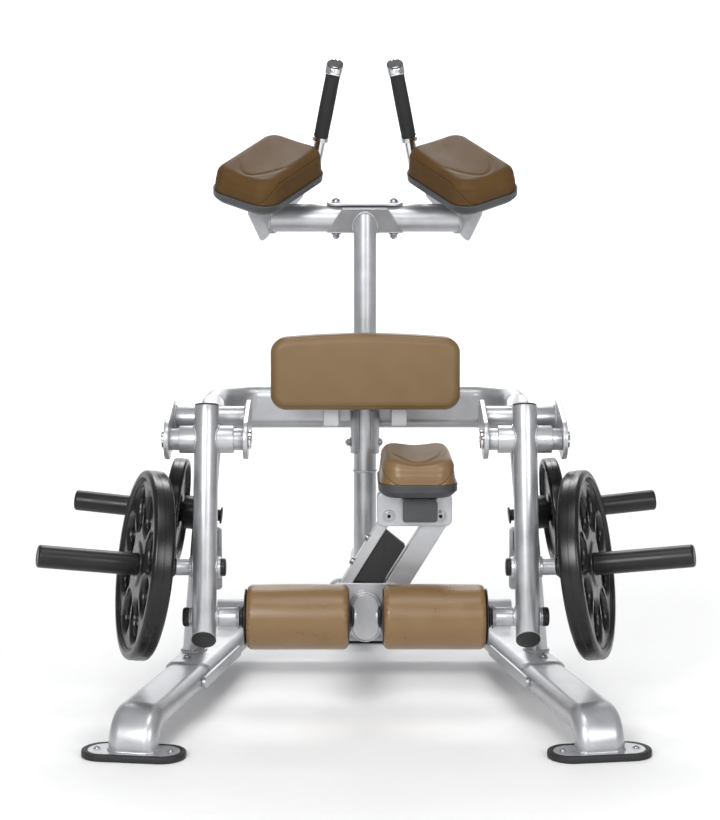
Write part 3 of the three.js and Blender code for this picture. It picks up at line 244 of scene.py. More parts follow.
def bent(points, radii, step=math.radians(3)):
    """The path with each inner corner replaced by an arc of its own radius."""
    path = [points[0]]
    for before, corner, after, radius in zip(points, points[1:], points[2:], radii):
        back, ahead = unit(before - corner), unit(after - corner)
        half = math.acos(float(back @ ahead)) / 2
        centre = corner + unit(back + ahead) * radius / math.sin(half)
        start = corner + back * radius / math.tan(half) - centre
        axis = -unit(np.cross(back, ahead))
        turn = math.pi - 2 * half
        count = max(2, math.ceil(turn / step))
        path += [centre + turned_about(start, axis, turn * k / count) for k in range(count + 1)]
    return np.array([*path, points[-1]])


def bar(outline, path, up=Z, edge=0.0):
    """A tube or bar: an outline carried along a path, its end rims rounded by a small edge."""
    path = np.asarray(path)
    near_end, near_share = 0.3, 0.35
    if edge:
        first, last = unit(path[1] - path[0]) * edge, unit(path[-1] - path[-2]) * edge
        path = np.array([path[0], path[0] + first * near_end, path[0] + first, *path[1:-1],
                         path[-1] - last, path[-1] - last * near_end, path[-1]])
    rings = carried(outline, path, up)
    if edge:
        for row, share in ((0, 1.0), (1, near_share), (-1, 1.0), (-2, near_share)):
            rings[row] += (path[row] - rings[row]) * edge * share / np.abs(outline).max()
    return skin(rings)


def tube(radius, start, end, edge=0.0, count=ROUND):
    """A straight round bar."""
    _, _, rise = axes_of(end - start)
    return bar(circle(radius, count), [start, end], rise, edge)


def shank(radius, start, end):
    """A plain bar for pins and bolts."""
    return tube(radius, start, end, count=SMALL_ROUND)


def turned(profile, start, direction, count=ROUND, hollow=False):
    """A turned body: rows of distance along the axis and radius, closed at both ends, or to a hoop."""
    along, side, rise = axes_of(direction)
    profile = np.asarray(profile, dtype=float)[:, :, None, None]
    around = laid(circle(1.0, count), 0, side, rise)
    rings = start + profile[:, 0] * along + profile[:, 1] * around
    return hoop(rings) if hollow else skin(rings)


def stack(outline, rows, origin, across, upward):
    """Rings of one outline moved inward and raised: rows of inset and height."""
    return skin([laid(inset(outline, inward), origin, across, upward, height) for inward, height in rows])


def slab(outline, thick, origin, across, upward, edge=1.2):
    """A plate with rounded rims: rings of the outline moved inward as they near either face."""
    rows = [(edge + 0.3, 0.0)] + fillet(edge, edge, -edge, -edge, 4)
    rows += [(inward, thick - depth) for inward, depth in reversed(rows)]
    return stack(outline, rows, origin, across, upward)


def bead(path, radius, pitch=4.5):
    """A closed weld bead: a small circle carried round a closed path, its size rippled along the path."""
    whole = travelled(np.concatenate([path, path[:1]]))
    ripples = max(6, round(whole[-1] / pitch))
    size = 1 + 0.16 * np.sin(whole[:-1] / whole[-1] * ripples * 2 * math.pi)
    ahead = units(np.roll(path, -1, axis=0) - np.roll(path, 1, axis=0))
    out = path - path.mean(axis=0)
    out = units(out - ahead * np.sum(out * ahead, axis=1, keepdims=True))
    return hoop(spread(circle(radius, 10), path, out, np.cross(ahead, out), size))


def pressed(rings, path, depth, wide, welt=0.0):
    """A grid of rings pressed in along a path: each point moves down its own normal by a bell curve of its
    distance to the path, with a low welt of the given height beside the groove."""
    across = np.roll(rings, -1, axis=1) - np.roll(rings, 1, axis=1)
    normal = units(np.cross(across, np.gradient(rings, axis=0)))
    side_row = 3
    middle = rings.reshape(-1, 3).mean(axis=0)
    if np.sum(normal[side_row] * (rings[side_row] - middle)) < 0:
        normal = -normal
    away = np.full(rings.shape[:2], np.inf)
    for spot in path:
        away = np.minimum(away, np.linalg.norm(rings - spot, axis=2))
    move = welt * np.exp(-((away - 2.4 * wide) / (0.9 * wide)) ** 2) - depth * np.exp(-(away / wide) ** 2)
    return rings + normal * move[:, :, None]


def stitches(path, facing, pitch=4.6, long=3.0, size=0.38):
    """Short threads at equal steps along a path, each a small closed bar with tapered ends, raised a little
    along the facing direction at its middle."""
    run = travelled(path)
    facing = np.broadcast_to(facing, path.shape)
    spots = long * np.array([-0.5, -0.25, 0.25, 0.5])
    raised, thick = np.array([0.1, 0.6, 0.6, 0.1])[:, None] * size, [0.4, 1, 1, 0.4]
    made = []
    for start in np.arange(pitch, run[-1] - pitch, pitch):
        line = np.stack([np.interp(start + spots, run, column) for column in path.T], axis=1)
        way = unit([np.interp(start, run, column) for column in facing.T])
        made.append(skin(carried(circle(size, 8), line + raised * way, way, thick)))
    return together(*made)


def bolt_head(centre, direction, radius, high):
    """A domed button head on a washer, with a round socket sunk in it."""
    washer = [(0, 1.25), (0.22, 1.25), (0.26, 1.18), (0.27, 1)]
    dome = [(0.3 + 0.7 * math.sin(t), math.cos(t) * 0.98) for t in quarter(8)[:6]]
    socket = [(1, 0.4), (0.55, 0.36), (0.5, 0.05)]
    return turned(np.array(washer + dome + socket) * (high, radius), centre, direction, SMALL_ROUND)


def hex_nut(centre, direction, radius, high):
    """A six-sided nut with chamfered corners on a round washer, the bolt's end standing out of it."""
    nut = [(0, 0.92), (0.1, 1), (0.9, 1), (1, 0.92)]
    washer = [(-0.2, 1.2), (0, 1.2)]
    end = [(0.9, 0.5), (1.35, 0.5), (1.45, 0.42)]
    return together(*[turned(np.array(rows) * (high, radius), centre, direction, count)
                      for rows, count in ((nut, 6), (washer, SMALL_ROUND), (end, SMALL_ROUND))])


# Finishes

def linear(code):
    """The linear colour of an sRGB hex code."""
    share = np.array([int(code[k:k + 2], 16) for k in (1, 3, 5)]) / 255
    value = np.where(share <= 0.04045, share / 12.92, ((share + 0.055) / 1.055) ** 2.4)
    return (*value.tolist(), 1.0)


def node(material, kind, inputs, **settings):
    """A shader node with its settings, its inputs set to values or linked from sockets."""
    made = material.node_tree.nodes.new(kind)
    for key, value in settings.items():
        setattr(made, key, value)
    for key, value in inputs.items():
        if isinstance(value, bpy.types.NodeSocket):
            material.node_tree.links.new(value, made.inputs[key])
        else:
            made.inputs[key].default_value = value
    return made


def finish(name, dark, light, metal, rough, grain, depth, mottle=45.0, coat=0.0, cells=0.0, grip=0.25,
           gloss=0.5):
    """A finish: two tones mixed by broad noise and fine grain, roughness moved by the same noise, and a bump of
    fine noise, or of leather-like cells when a cell size is given. Sizes are in millimetres."""
    material = bpy.data.materials.new(name)
    material.use_nodes = True
    material.node_tree.nodes.clear()
    place = node(material, "ShaderNodeTexCoord", {}).outputs["Object"]
    broad, fine = [node(material, "ShaderNodeTexNoise", {"Vector": place, "Scale": METRE / size,
                                                         "Detail": detail}).outputs["Fac"]
                   for size, detail in ((mottle, 3.0), (grain, 2.0))]
    blend = node(material, "ShaderNodeMath", {0: broad, 1: fine}, operation="ADD")
    share = node(material, "ShaderNodeMapRange", {"Value": blend.outputs[0], "From Min": 0.7, "From Max": 1.3})
    tone = node(material, "ShaderNodeMix", {"Factor": share.outputs[0], "A": linear(dark), "B": linear(light)},
                data_type="RGBA")
    roughness = node(material, "ShaderNodeMapRange", {"Value": broad, "From Min": 0.3, "From Max": 0.7,
                                                      "To Min": rough[0], "To Max": rough[1]})
    height = fine
    if cells:
        cell = node(material, "ShaderNodeTexVoronoi", {"Vector": place, "Scale": METRE / cells},
                    feature="DISTANCE_TO_EDGE")
        crease = node(material, "ShaderNodeMapRange", {"Value": cell.outputs["Distance"], "From Max": 0.16})
        height = node(material, "ShaderNodeMath", {0: fine, 1: 0.35, 2: crease.outputs[0]},
                      operation="MULTIPLY_ADD").outputs[0]
    bump = node(material, "ShaderNodeBump", {"Height": height, "Strength": grip, "Distance": depth / METRE})
    surface = node(material, "ShaderNodeBsdfPrincipled", {
        "Base Color": tone.outputs["Result"], "Metallic": metal, "Roughness": roughness.outputs[0],
        "Normal": bump.outputs[0], "Coat Weight": coat, "Coat Roughness": 0.12, "Specular IOR Level": gloss})
    node(material, "ShaderNodeOutputMaterial", {"Surface": surface.outputs[0]})
    return material


def finishes():
    """Every look: the slot of the record that it fills, and its finish."""
    satin = {"cells": 1.4, "grip": 0.2}
    return {
        # Silver metallic powder coat: light grey with a fine sparkle and soft wide highlights
        "silver": ("silver", finish("silver_powder_coat", "#AEAFB2", "#C4C5C8", 0.75, (0.33, 0.4), 0.7, 0.1,
                                    coat=0.12)),
        # Satin black powder coat of horns and roller ends: near black with a soft grain
        "horn": ("black_horn", finish("black_satin_coat", "#141415", "#202021", 0.0, (0.3, 0.42), 0.8, 0.12,
                                      gloss=0.35)),
        # Glossy black enamel over cast iron: deep black with slow waves under the gloss
        "plate": ("plate_black", finish("black_enamel", "#050506", "#0B0B0C", 0.0, (0.24, 0.34), 6.0, 0.2,
                                        grip=0.08, gloss=0.45)),
        # Bright plating: nearly a mirror, with faint polishing marks
        "chrome": ("chrome", finish("bright_chrome", "#CFD1D3", "#E6E7E8", 1.0, (0.07, 0.13), 1.5, 0.02,
                                    grip=0.1)),
        # Zinc-plated bolts and washers: duller and greyer than chrome
        "zinc": ("chrome", finish("zinc_plate", "#9B9C9F", "#BEBFC1", 1.0, (0.24, 0.34), 1.2, 0.03, grip=0.15)),
        # Moulded black rubber: matt with a fine skin
        "rubber": ("rubber", finish("moulded_rubber", "#141415", "#232324", 0.0, (0.5, 0.66), 0.9, 0.2)),
        # Grip foam: black, matt, pebbled all over
        "grip": ("rubber", finish("pebbled_grip", "#0C0C0D", "#1A1A1B", 0.0, (0.5, 0.66), 0.6, 0.3, cells=1.6,
                                  grip=0.8)),
        # Dark grey moulded tray: satin plastic with a pebbled texture
        "tray": ("tray", finish("dark_grey_tray", "#37383A", "#484A4B", 0.0, (0.4, 0.52), 0.8, 0.2, cells=1.4,
                                grip=0.3)),
        # Brown vinyl stretched round the rollers: leather creases, the brightest sheen of the four
        "roller_vinyl": ("vinyl", finish("brown_vinyl_roller", "#765B3A", "#7E6341", 0.0, (0.27, 0.33), 0.8,
                                         0.25, cells=1.6, grip=0.2)),
        # The same vinyl over the flat thigh pad: finer creases and a wider sheen
        "thigh_vinyl": ("vinyl", finish("brown_vinyl_thigh", "#6D5536", "#745B3A", 0.0, (0.36, 0.42), 0.7,
                                        0.25, cells=1.2, gloss=0.4)),
        # Vinyl of the elbow pads: the darkest and dullest of the four
        "pad_vinyl": ("vinyl", finish("brown_vinyl_moulded", "#4F3A20", "#563F24", 0.0, (0.46, 0.54), 0.8, 0.2,
                                      gloss=0.1, **satin)),
        # Vinyl of the knee pad: light, with a soft shine
        "knee_vinyl": ("vinyl", finish("brown_vinyl_knee", "#735A3A", "#7B6140", 0.0, (0.28, 0.34), 0.8, 0.2,
                                       **satin)),
        # Stitching thread: a darker brown cord lying in the seam
        "thread": ("vinyl", finish("brown_thread", "#3E2D18", "#503B22", 0.0, (0.6, 0.75), 0.5, 0.2)),
        # Painted shade: near black for the unlit insides of tubes and slots, dark only from the shade in them
        "hollow": ("black_horn", finish("painted_shade_inside", "#0A0A0A", "#141414", 0.0, (0.7, 0.9), 2.0, 0.1)),
    }


LOOKS = {}
SOFT = 60
ADDED = ""


def piece(name, shape, look, body="frame", stands_for=None, sharp=38):
    """A shape, or a list of them, as one object that rides on a body and has one finish. It stands for the
    CAD node of its own name, for the node that is given, or for none when it is an added detail."""
    points, faces = together(*shape) if isinstance(shape, list) else shape
    if not np.isfinite(points).all():
        raise ValueError(f"{name} has a point with no place")
    mesh = bpy.data.meshes.new(name)
    mesh.from_pydata((points / METRE).tolist(), [], faces)
    mesh.update()
    mesh.shade_smooth()
    mesh.set_sharp_from_angle(angle=math.radians(sharp))
    made = bpy.data.objects.new(name, mesh)
    bpy.context.collection.objects.link(made)
    slot, material = LOOKS[look]
    mesh.materials.append(material)
    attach(made, body)
    stands_for = name if stands_for is None else stands_for
    if stands_for:
        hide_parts(stands_for)
    return made


def pair(name, shape, look, body="frame", stands_for="{name}_{side}", sharp=38):
    """The right piece and its mirror image on the left; body and node names take the side's name."""
    shape = together(*shape) if isinstance(shape, list) else shape
    return [piece(f"{name}_{side}", mirrored(shape, sign), look, body.format(side=side),
                  stands_for.format(name=name, side=side), sharp) for side, sign in SIDES]


# Pieces. Places are in millimetres from the arm pivot plane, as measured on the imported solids.

ARM, ROLLER, KNEE = "arm_{side}_assembly", "roller_{side}_assembly", "knee_carriage_assembly"
TUBE = 25.4
SEAT = 0.3
ARM_X = 334.5
PIVOT = at(ARM_X, 0, 585)
LEAN = math.radians(12.5)
ARM_DOWN = np.array([0, -math.sin(LEAN), -math.cos(LEAN)])
ARM_FRONT = np.cross(ARM_DOWN, X)
AHEAD = 14.0
ROLLER_DOWN, LOAD_DOWN = 369, 267
CROSS_TUBE = at(0, 105, 619)
POST_FOOT = at(378, 145, 97.8)
POST_HEAD = CROSS_TUBE + X * 332
SPINE_WIDE, SPINE_TALL, SPINE_MID = 66, 110, 200.3
MAST = at(0, 264, 0)
MAST_PEAK = 1063
MAST_CUT = math.radians(49.7)
LEG_TOP = 100.8
PLATE_LOW, PLATE_THICK = 7.3, 6
FOOT_WELD = 14.2
STORE_TILT, STORE_AWAY = math.radians(6), math.radians(1.2)
STORE_ALONG = unit([math.cos(STORE_TILT), math.tan(STORE_AWAY), math.sin(STORE_TILT)])
STORE_COLLAR_END = 396
HORN_OUT, HORN_UP = math.radians(17), math.radians(8)
HORN_ALONG = np.array([math.cos(HORN_OUT) * math.cos(HORN_UP), -math.sin(HORN_OUT) * math.cos(HORN_UP),
                       math.sin(HORN_UP)])
BAR_AXIS = at(0, 290, 1051.5)
PAD_OUTLINE = (160, 246, 43)
HANDLE_FOOT = at(117.5, 332.4, 1145.3)
HANDLE_ALONG = unit([-math.tan(math.radians(11.6)), -math.tan(math.radians(14.4)), 1])


def arm_at(distance, x=ARM_X):
    """A point on the arm's axis, a distance down from its pivot, moved to a given X."""
    place = PIVOT + ARM_DOWN * distance
    place[0] = x
    return place


def store_at(x):
    """The point of the storage horn's axis at a given X: from the side post's axis along the horn."""
    middle = POST_FOOT + (POST_HEAD - POST_FOOT) * (407 - POST_FOOT[2]) / (POST_HEAD[2] - POST_FOOT[2])
    return middle + STORE_ALONG * (x - middle[0]) / STORE_ALONG[0]


def build_base(p):
    """Legs, feet, cross beam and spine."""
    leg = oval(p.leg_width * METRE, p.leg_height * METRE)
    middle, sole, toe_out = Z * 70, Z * 12, math.radians(8)
    foot, rear = at(455, -304, 0), at(0, 685, 0)
    leg_rear, leg_bow = at(305, 432.4, middle[2]), at(383, 35, middle[2])
    bow_radius, ankle_radius, spine_radius = 900, 50, 95
    foot_plate, foot_sole = oval(184, 72), oval(208, 92)
    rear_plate, rear_sole = round_box(150, 130, 32), round_box(166, 146, 40)
    path = bent([leg_rear, leg_bow, foot + middle, foot + sole], [bow_radius, ankle_radius])
    across = np.array([math.cos(toe_out), math.sin(toe_out), 0])
    ahead = np.cross(Z, across)
    side, rise = frames(path, Z)
    rim = laid(leg, path[-1], side[-1], rise[-1])
    rim[:, 2] = FOOT_WELD
    plate = slab(foot_plate, PLATE_THICK, foot + Z * PLATE_LOW, across, ahead)
    pair("leg", [bar(leg, path), plate, bead(rim, 2.6)], "silver")
    screw_out, screw_low = 74, Z * (PLATE_LOW + PLATE_THICK - 0.1)
    pair("foot_screws", [bolt_head(foot + across * x + screw_low, Z, 6, 4) for x in (-screw_out, screw_out)],
         "zinc", stands_for=ADDED)
    # Rows of inset and height: wall, rounded shoulder, top rim and the pocket for the foot plate
    rubber = [(3, 0), (0.8, 0.8), (0, 3), (0, 10.5), (1, 13), (3, 14), (8, 14), (10.6, 13.2), (11.6, 11.5),
              (11.7, 7)]
    pair("foot_rubber", stack(foot_sole, rubber, foot, across, ahead), "rubber")
    bolt = at(386.6, 78, LEG_TOP)
    pair("saddle_bolt", [bolt_head(bolt, Z, 7.6, 7), shank(5, bolt - Z * 20, bolt)], "zinc")
    beam_half, beam_mid = X * 350, at(0, 458, 95)
    piece("rear_cross_beam", bar(oval(50, 100), [beam_mid - beam_half, beam_mid + beam_half], edge=2.5), "silver")
    section, level = oval(SPINE_WIDE, SPINE_TALL), Z * SPINE_MID
    spine = bent([at(0, 30, SPINE_MID), rear + level, rear + sole], [spine_radius], math.radians(4))
    joint = laid(section, spine[-1], X, Y)
    joint[:, 2] = FOOT_WELD
    plate = slab(rear_plate, PLATE_THICK, rear + Z * PLATE_LOW, X, Y)
    piece("spine_beam", [bar(section, spine), bead(joint, 2.8), plate], "silver")
    narrow = [(inward * 0.66, height) for inward, height in rubber]
    piece("rear_foot_rubber", stack(rear_sole, narrow, rear, X, Y), "rubber")
    # Rows of inset and height: plug, flange, a step behind the weld, and the flat face
    cap = [(7, -0.2), (7, 0.0), (1.6, 0.1), (1.4, 4.4), (4.4, 5.2), (5.2, 6.4), (5.6, 7.6), (6.4, 7.9),
           (7.0, 8.0), (7.5, 8.0), (30, 8.0)]
    rim = laid(oval(SPINE_WIDE - 6, SPINE_TALL - 6), at(0, 24.6, SPINE_MID), X, Z)
    piece("spine_end_cap", [stack(section, cap, at(0, 29.7, SPINE_MID), X, Z), bead(rim, 2.0, 5.5)],
          "silver")
    strip, strip_mid, leg_way = round_box(300, 24, 11.8), at(317.4, 115, 72), unit([0.1961, -1, 0])
    pair("saddle_strip", slab(strip, 9, strip_mid, leg_way, Z, 1.6), "silver", stands_for=ADDED)


def build_mast(p):
    """Mast with its sloped top, yoke beam, its plates and bolt."""
    radius = p.mast_radius * METRE
    flat = circle(radius, 96)

    def top(outline, down):
        ring = laid(outline, MAST, X, Y)
        ring[:, 2] = MAST_PEAK - down - (outline[:, 1] + radius) * math.tan(MAST_CUT)
        return ring

    mast_foot, seam_up, bolt_up = Z * 254, Z * 482, Z * 546
    rows = [laid(flat, MAST + mast_foot, X, Y), top(flat, 3), top(flat, 1.2),
            top(inset(flat, 0.5), 0.3), top(inset(flat, 1.4), 0), top(flat * 0.5, 0), top(flat * 0.05, 0)]
    # The foot weld lies on the round top of the spine
    foot = ring_path(MAST, Z, radius + 1, 200)
    half = SPINE_WIDE / 2
    round_mid = SPINE_MID + (SPINE_TALL - SPINE_WIDE) / 2
    foot[:, 2] = round_mid + np.sqrt(np.maximum(half ** 2 - foot[:, 0] ** 2, 0))
    seam = ring_path(MAST + seam_up, Z, radius - 0.6)
    piece("mast", [skin(rows), bead(foot, 3.4), bead(seam, 2.2)], "silver")

    yoke_x, near_y, far_y, yoke_z, yoke_bend = 330, 117, 314.7, 622, 90
    path = bent([at(x, y, yoke_z) for x, y in ((-yoke_x, near_y), (-yoke_x, far_y), (yoke_x, far_y),
                                               (yoke_x, near_y))], [yoke_bend, yoke_bend])
    shape = [bar(oval(50, 98), path, edge=2.5)]
    # Each saddle sheet wraps the mast from near its front round to the side and runs straight back. Its lower
    # near corner is rounded off.
    turn = np.linspace(math.radians(28), math.pi / 2, 14)
    corner, low, high, inside, outside, straight, wrapped = 15, 522, 619, 27, 33, 49, 30
    near = np.append(np.maximum(0, corner - wrapped * (turn - turn[0])), 0)
    lower = low + corner - np.sqrt(corner ** 2 - near ** 2)
    weld = np.linspace(-1.08, 1.08, 24)

    def wall(side, reach, height):
        x, y = side * reach * np.append(np.sin(turn), 1), np.append(-reach * np.cos(turn), straight)
        return MAST + np.stack([x, y, np.broadcast_to(height, x.shape)], axis=1)

    for sign in (-1, 1):
        walls = [wall(sign, *place) for place in ((inside, lower), (outside, lower), (outside, high),
                                                  (inside, high))]
        shape.append(skin(np.stack(walls[::-sign], axis=1)))
        seam = [laid(arc(angle, 26.3), CROSS_TUBE + X * sign * x, Y, Z)
                for x, angle in ((304, weld), (356, weld[::-1]))]
        shape.append(bead(np.concatenate(seam), 2.8))
    piece("yoke_beam", shape, "silver")
    bolt = MAST + bolt_up
    piece("yoke_bolt", [bolt_head(bolt + X * 33.2, X, 8, 7), hex_nut(bolt - X * 34.4, -X, 9, 7),
                        shank(5, bolt - X * 36, bolt + X * 36)], "zinc")


def pivot_plate_outline():
    """Two rounds, at the pivot and at the cross tube, joined by their outer tangents, in (Y, Z)."""
    back, up, pivot_round, tube_round = 105, 34, 42, 39
    climb, tangent = math.atan2(up, back), math.acos((pivot_round - tube_round) / math.hypot(back, up))
    first = np.linspace(climb - tangent, climb + tangent, 40)
    second = np.linspace(climb + tangent, climb - tangent + 2 * math.pi, 40)
    return np.concatenate([arc(first, tube_round) + (back, up), arc(second, pivot_round)])


def build_posts(p):
    """Side posts with pivot plates, cross tubes, leg saddles and stops; bumpers and storage horns."""
    radius = p.post_radius * METRE
    plate_inner, plate_outer, plate_thick, step = 247, 412, 10, 0.5
    plates = [slab(pivot_plate_outline(), plate_thick, at(x, 0, PIVOT[2]), Y, Z, 1.6)
              for x in (plate_inner, plate_outer)]
    cross_end = plate_outer + plate_thick - step
    cross = tube(TUBE, CROSS_TUBE + X * (plate_inner + step), CROSS_TUBE + X * cross_end, 1.5)
    rings = [bead(ring_path(CROSS_TUBE + X * x, X, TUBE + 0.8), 2.6)
             for x in (plate_inner + plate_thick + 1.5, plate_outer - 1.5)]
    rise = POST_HEAD - POST_FOOT
    foot = ring_path(POST_FOOT + rise * 0.012, rise, radius + 1.5)
    foot[:, 2] = LEG_TOP - np.abs(foot[:, 0] - POST_FOOT[0]) * 0.03
    # The head weld lies on the underside of the cross tube
    head = ring_path(POST_HEAD, rise, radius + 1.2)
    head[:, 2] = POST_HEAD[2] - np.sqrt(np.maximum(26.5 ** 2 - (head[:, 1] - POST_HEAD[1]) ** 2, 9))
    # The saddle wraps the leg's flat oval; its near end is cut in a wave
    angle = np.linspace(math.radians(-32), math.radians(212), 60)
    round_of_leg = 25

    def shoulder(grow):
        x = np.sign(np.cos(angle)) * round_of_leg * np.minimum(1, np.abs(np.cos(angle)) * 3)
        return np.stack([x, 0 * x], axis=1) + arc(angle, round_of_leg + grow)

    saddle_thick, saddle_far, saddle_near = 5, at(337.9, 265, 70), at(380.6, 47, 70)
    saddle = carried(np.concatenate([shoulder(SEAT + saddle_thick), shoulder(SEAT)[::-1]]),
                     np.linspace(saddle_far, saddle_near, 24))
    over = np.cos(2 * (np.concatenate([angle, angle[::-1]]) - math.pi / 2))
    near = unit(saddle_near - saddle_far)
    for row, wave in ((-1, 9), (-2, 4)):
        saddle[row] += np.outer(wave * over, near)
    stop_z, web_outline = 329, [(0, -55), (62, -55), (70, 55), (0, 55)]
    stop = slab(round_box(60, 134, 8), 8, at(335, 20, stop_z), X, Z, 1.4)
    web = slab(np.array(web_outline), 10, at(345, 19, stop_z), Y, Z)
    pair("side_post", [tube(radius, POST_FOOT, POST_HEAD), cross, *plates, *rings, skin(saddle), stop, web,
                       bead(foot, 3.2), bead(head, 3)], "silver")
    # The bumper's near face lies along the leaning arm
    bumper_z, half, back = 368, 20, 11.7
    low_y, high_y = ((bumper_z + z - PIVOT[2]) * math.tan(LEAN) + (TUBE + SEAT - AHEAD) / math.cos(LEAN)
                     for z in (-half, half))
    wedge = np.array([(low_y, -half), (back, -half), (back, half), (high_y, half)])
    pair("stop_bumper", slab(wedge, 46, at(312, 0, bumper_z), Y, Z, 2.5), "rubber")
    # Rows of distance and radius: end cap, stub, collar, bar and its rounded tip
    inner_x, collar_x, tip_x = 312, 368, 633
    start = store_at(inner_x)
    collar, collar_end, tip = ((x - inner_x) / STORE_ALONG[0] for x in (collar_x, STORE_COLLAR_END, tip_x))
    rows = [(0, 2), (0.2, 16.6), (1.2, 18), (4, 18), (4, 12.5), (collar, 12.5), (collar, 34.6),
            (collar + 1.4, 36), (collar_end - 1.4, 36), (collar_end, 34.6), (collar_end, 22)]
    rows += fillet(tip - 6, 16, 6, 6) + [(tip - 0.6, 12), (tip - 0.8, 2)]
    pair("storage_horn", turned(rows, start, STORE_ALONG), "horn")


def both_faces(rows, thick):
    """Rows of one face, then the same rows backward on the far face."""
    return np.concatenate([rows, (rows[::-1] - (thick, 0)) * (-1, 1)])


def wheel(radius, thick, lip, web, hub, bore, start, direction, groove, openings=None):
    """A weight plate: a turned rim and hub with rounded edges, and between them a web. With openings, the web is
    made of equal sectors, each a skin from the sector's border in to the opening's oval and back on the far
    face."""
    along, _, rise = axes_of(direction)
    inner, low, soft = radius - lip, (thick - web) / 2, min(9.0, thick * 0.2)
    lip_round = 2.4
    rim = [(low + 1, inner - groove), (low, inner - groove), *fillet(low, inner - groove + 6, -2.7, -3)[:4]]
    rim += fillet(lip_round, inner + lip_round, -lip_round, -lip_round)
    rim += fillet(soft, radius - soft, -soft, soft)[::-1]
    rim += [(thick / 2 - 1.2, radius), (thick / 2 - 0.6, radius + 0.5)]
    face = low / 2
    boss = [(face + 0.5, bore), (face, bore + 1), (face, hub - 2.5), (face + 0.8, hub - 0.8),
            (face + 2.5, hub), (low - 1.5, hub + 1.2), (low, hub + 5), (low + 1, hub + 5.2)]
    shape = [turned(both_faces(np.array(rows), thick), start, direction, WHEEL_ROUND, hollow=True)
             for rows in (rim, boss)]
    if not openings:
        disc = both_faces(np.array([(low, hub + 2), (low, inner - 2)]), thick)
        return together(*shape, turned(disc, start, direction, WHEEL_ROUND, hollow=True))
    count, middle, deep, wide, corner, edge = openings
    half = math.pi / count
    opening = round_box(deep, wide, corner, 10)
    way = circle(1.0, 96)
    around = np.arctan2(opening[:, 1], opening[:, 0])
    order = np.argsort(around)
    around = np.concatenate([around[order] + shift for shift in (-2 * math.pi, 0, 2 * math.pi)])
    reach = np.interp(np.arange(96) * 2 * math.pi / 96, around,
                      np.tile(np.linalg.norm(opening[order], axis=1), 3))
    # The sector's border: the nearest of the rim's circle, the hub's circle and the two sector sides
    toward = way[:, 0] * middle

    def to_circle(limit, sign):
        under = toward ** 2 - middle ** 2 + limit ** 2
        return np.where(under > 0, -toward + sign * np.sqrt(np.maximum(under, 0)), np.inf)

    inward = to_circle(hub + 2, -1)
    border = np.minimum(to_circle(inner - 2, 1), np.where(inward > 0, inward, np.inf))
    for sign in (-1, 1):
        normal = np.array([-math.sin(half), sign * math.cos(half)])
        slope = np.maximum(way @ normal, 1e-6)
        border = np.minimum(border, -middle * normal[0] / slope)
    rows = [(border, low), (0.5 * (border + reach + edge), low), (reach + edge + 0.3, low)]
    rows += fillet(reach + edge, low + edge, -edge, -edge, 9)
    rows += [(gap, thick - height) for gap, height in reversed(rows)]
    for number in range(count):
        out = turned_about(rise, along, (number + 0.5) * 2 * half)
        rings = [laid(way * gap[:, None] + (middle, 0), start, out, np.cross(along, out), height)
                 for gap, height in rows]
        shape.append(hoop(np.array(rings)[:, ::-1]))
    return together(*shape)


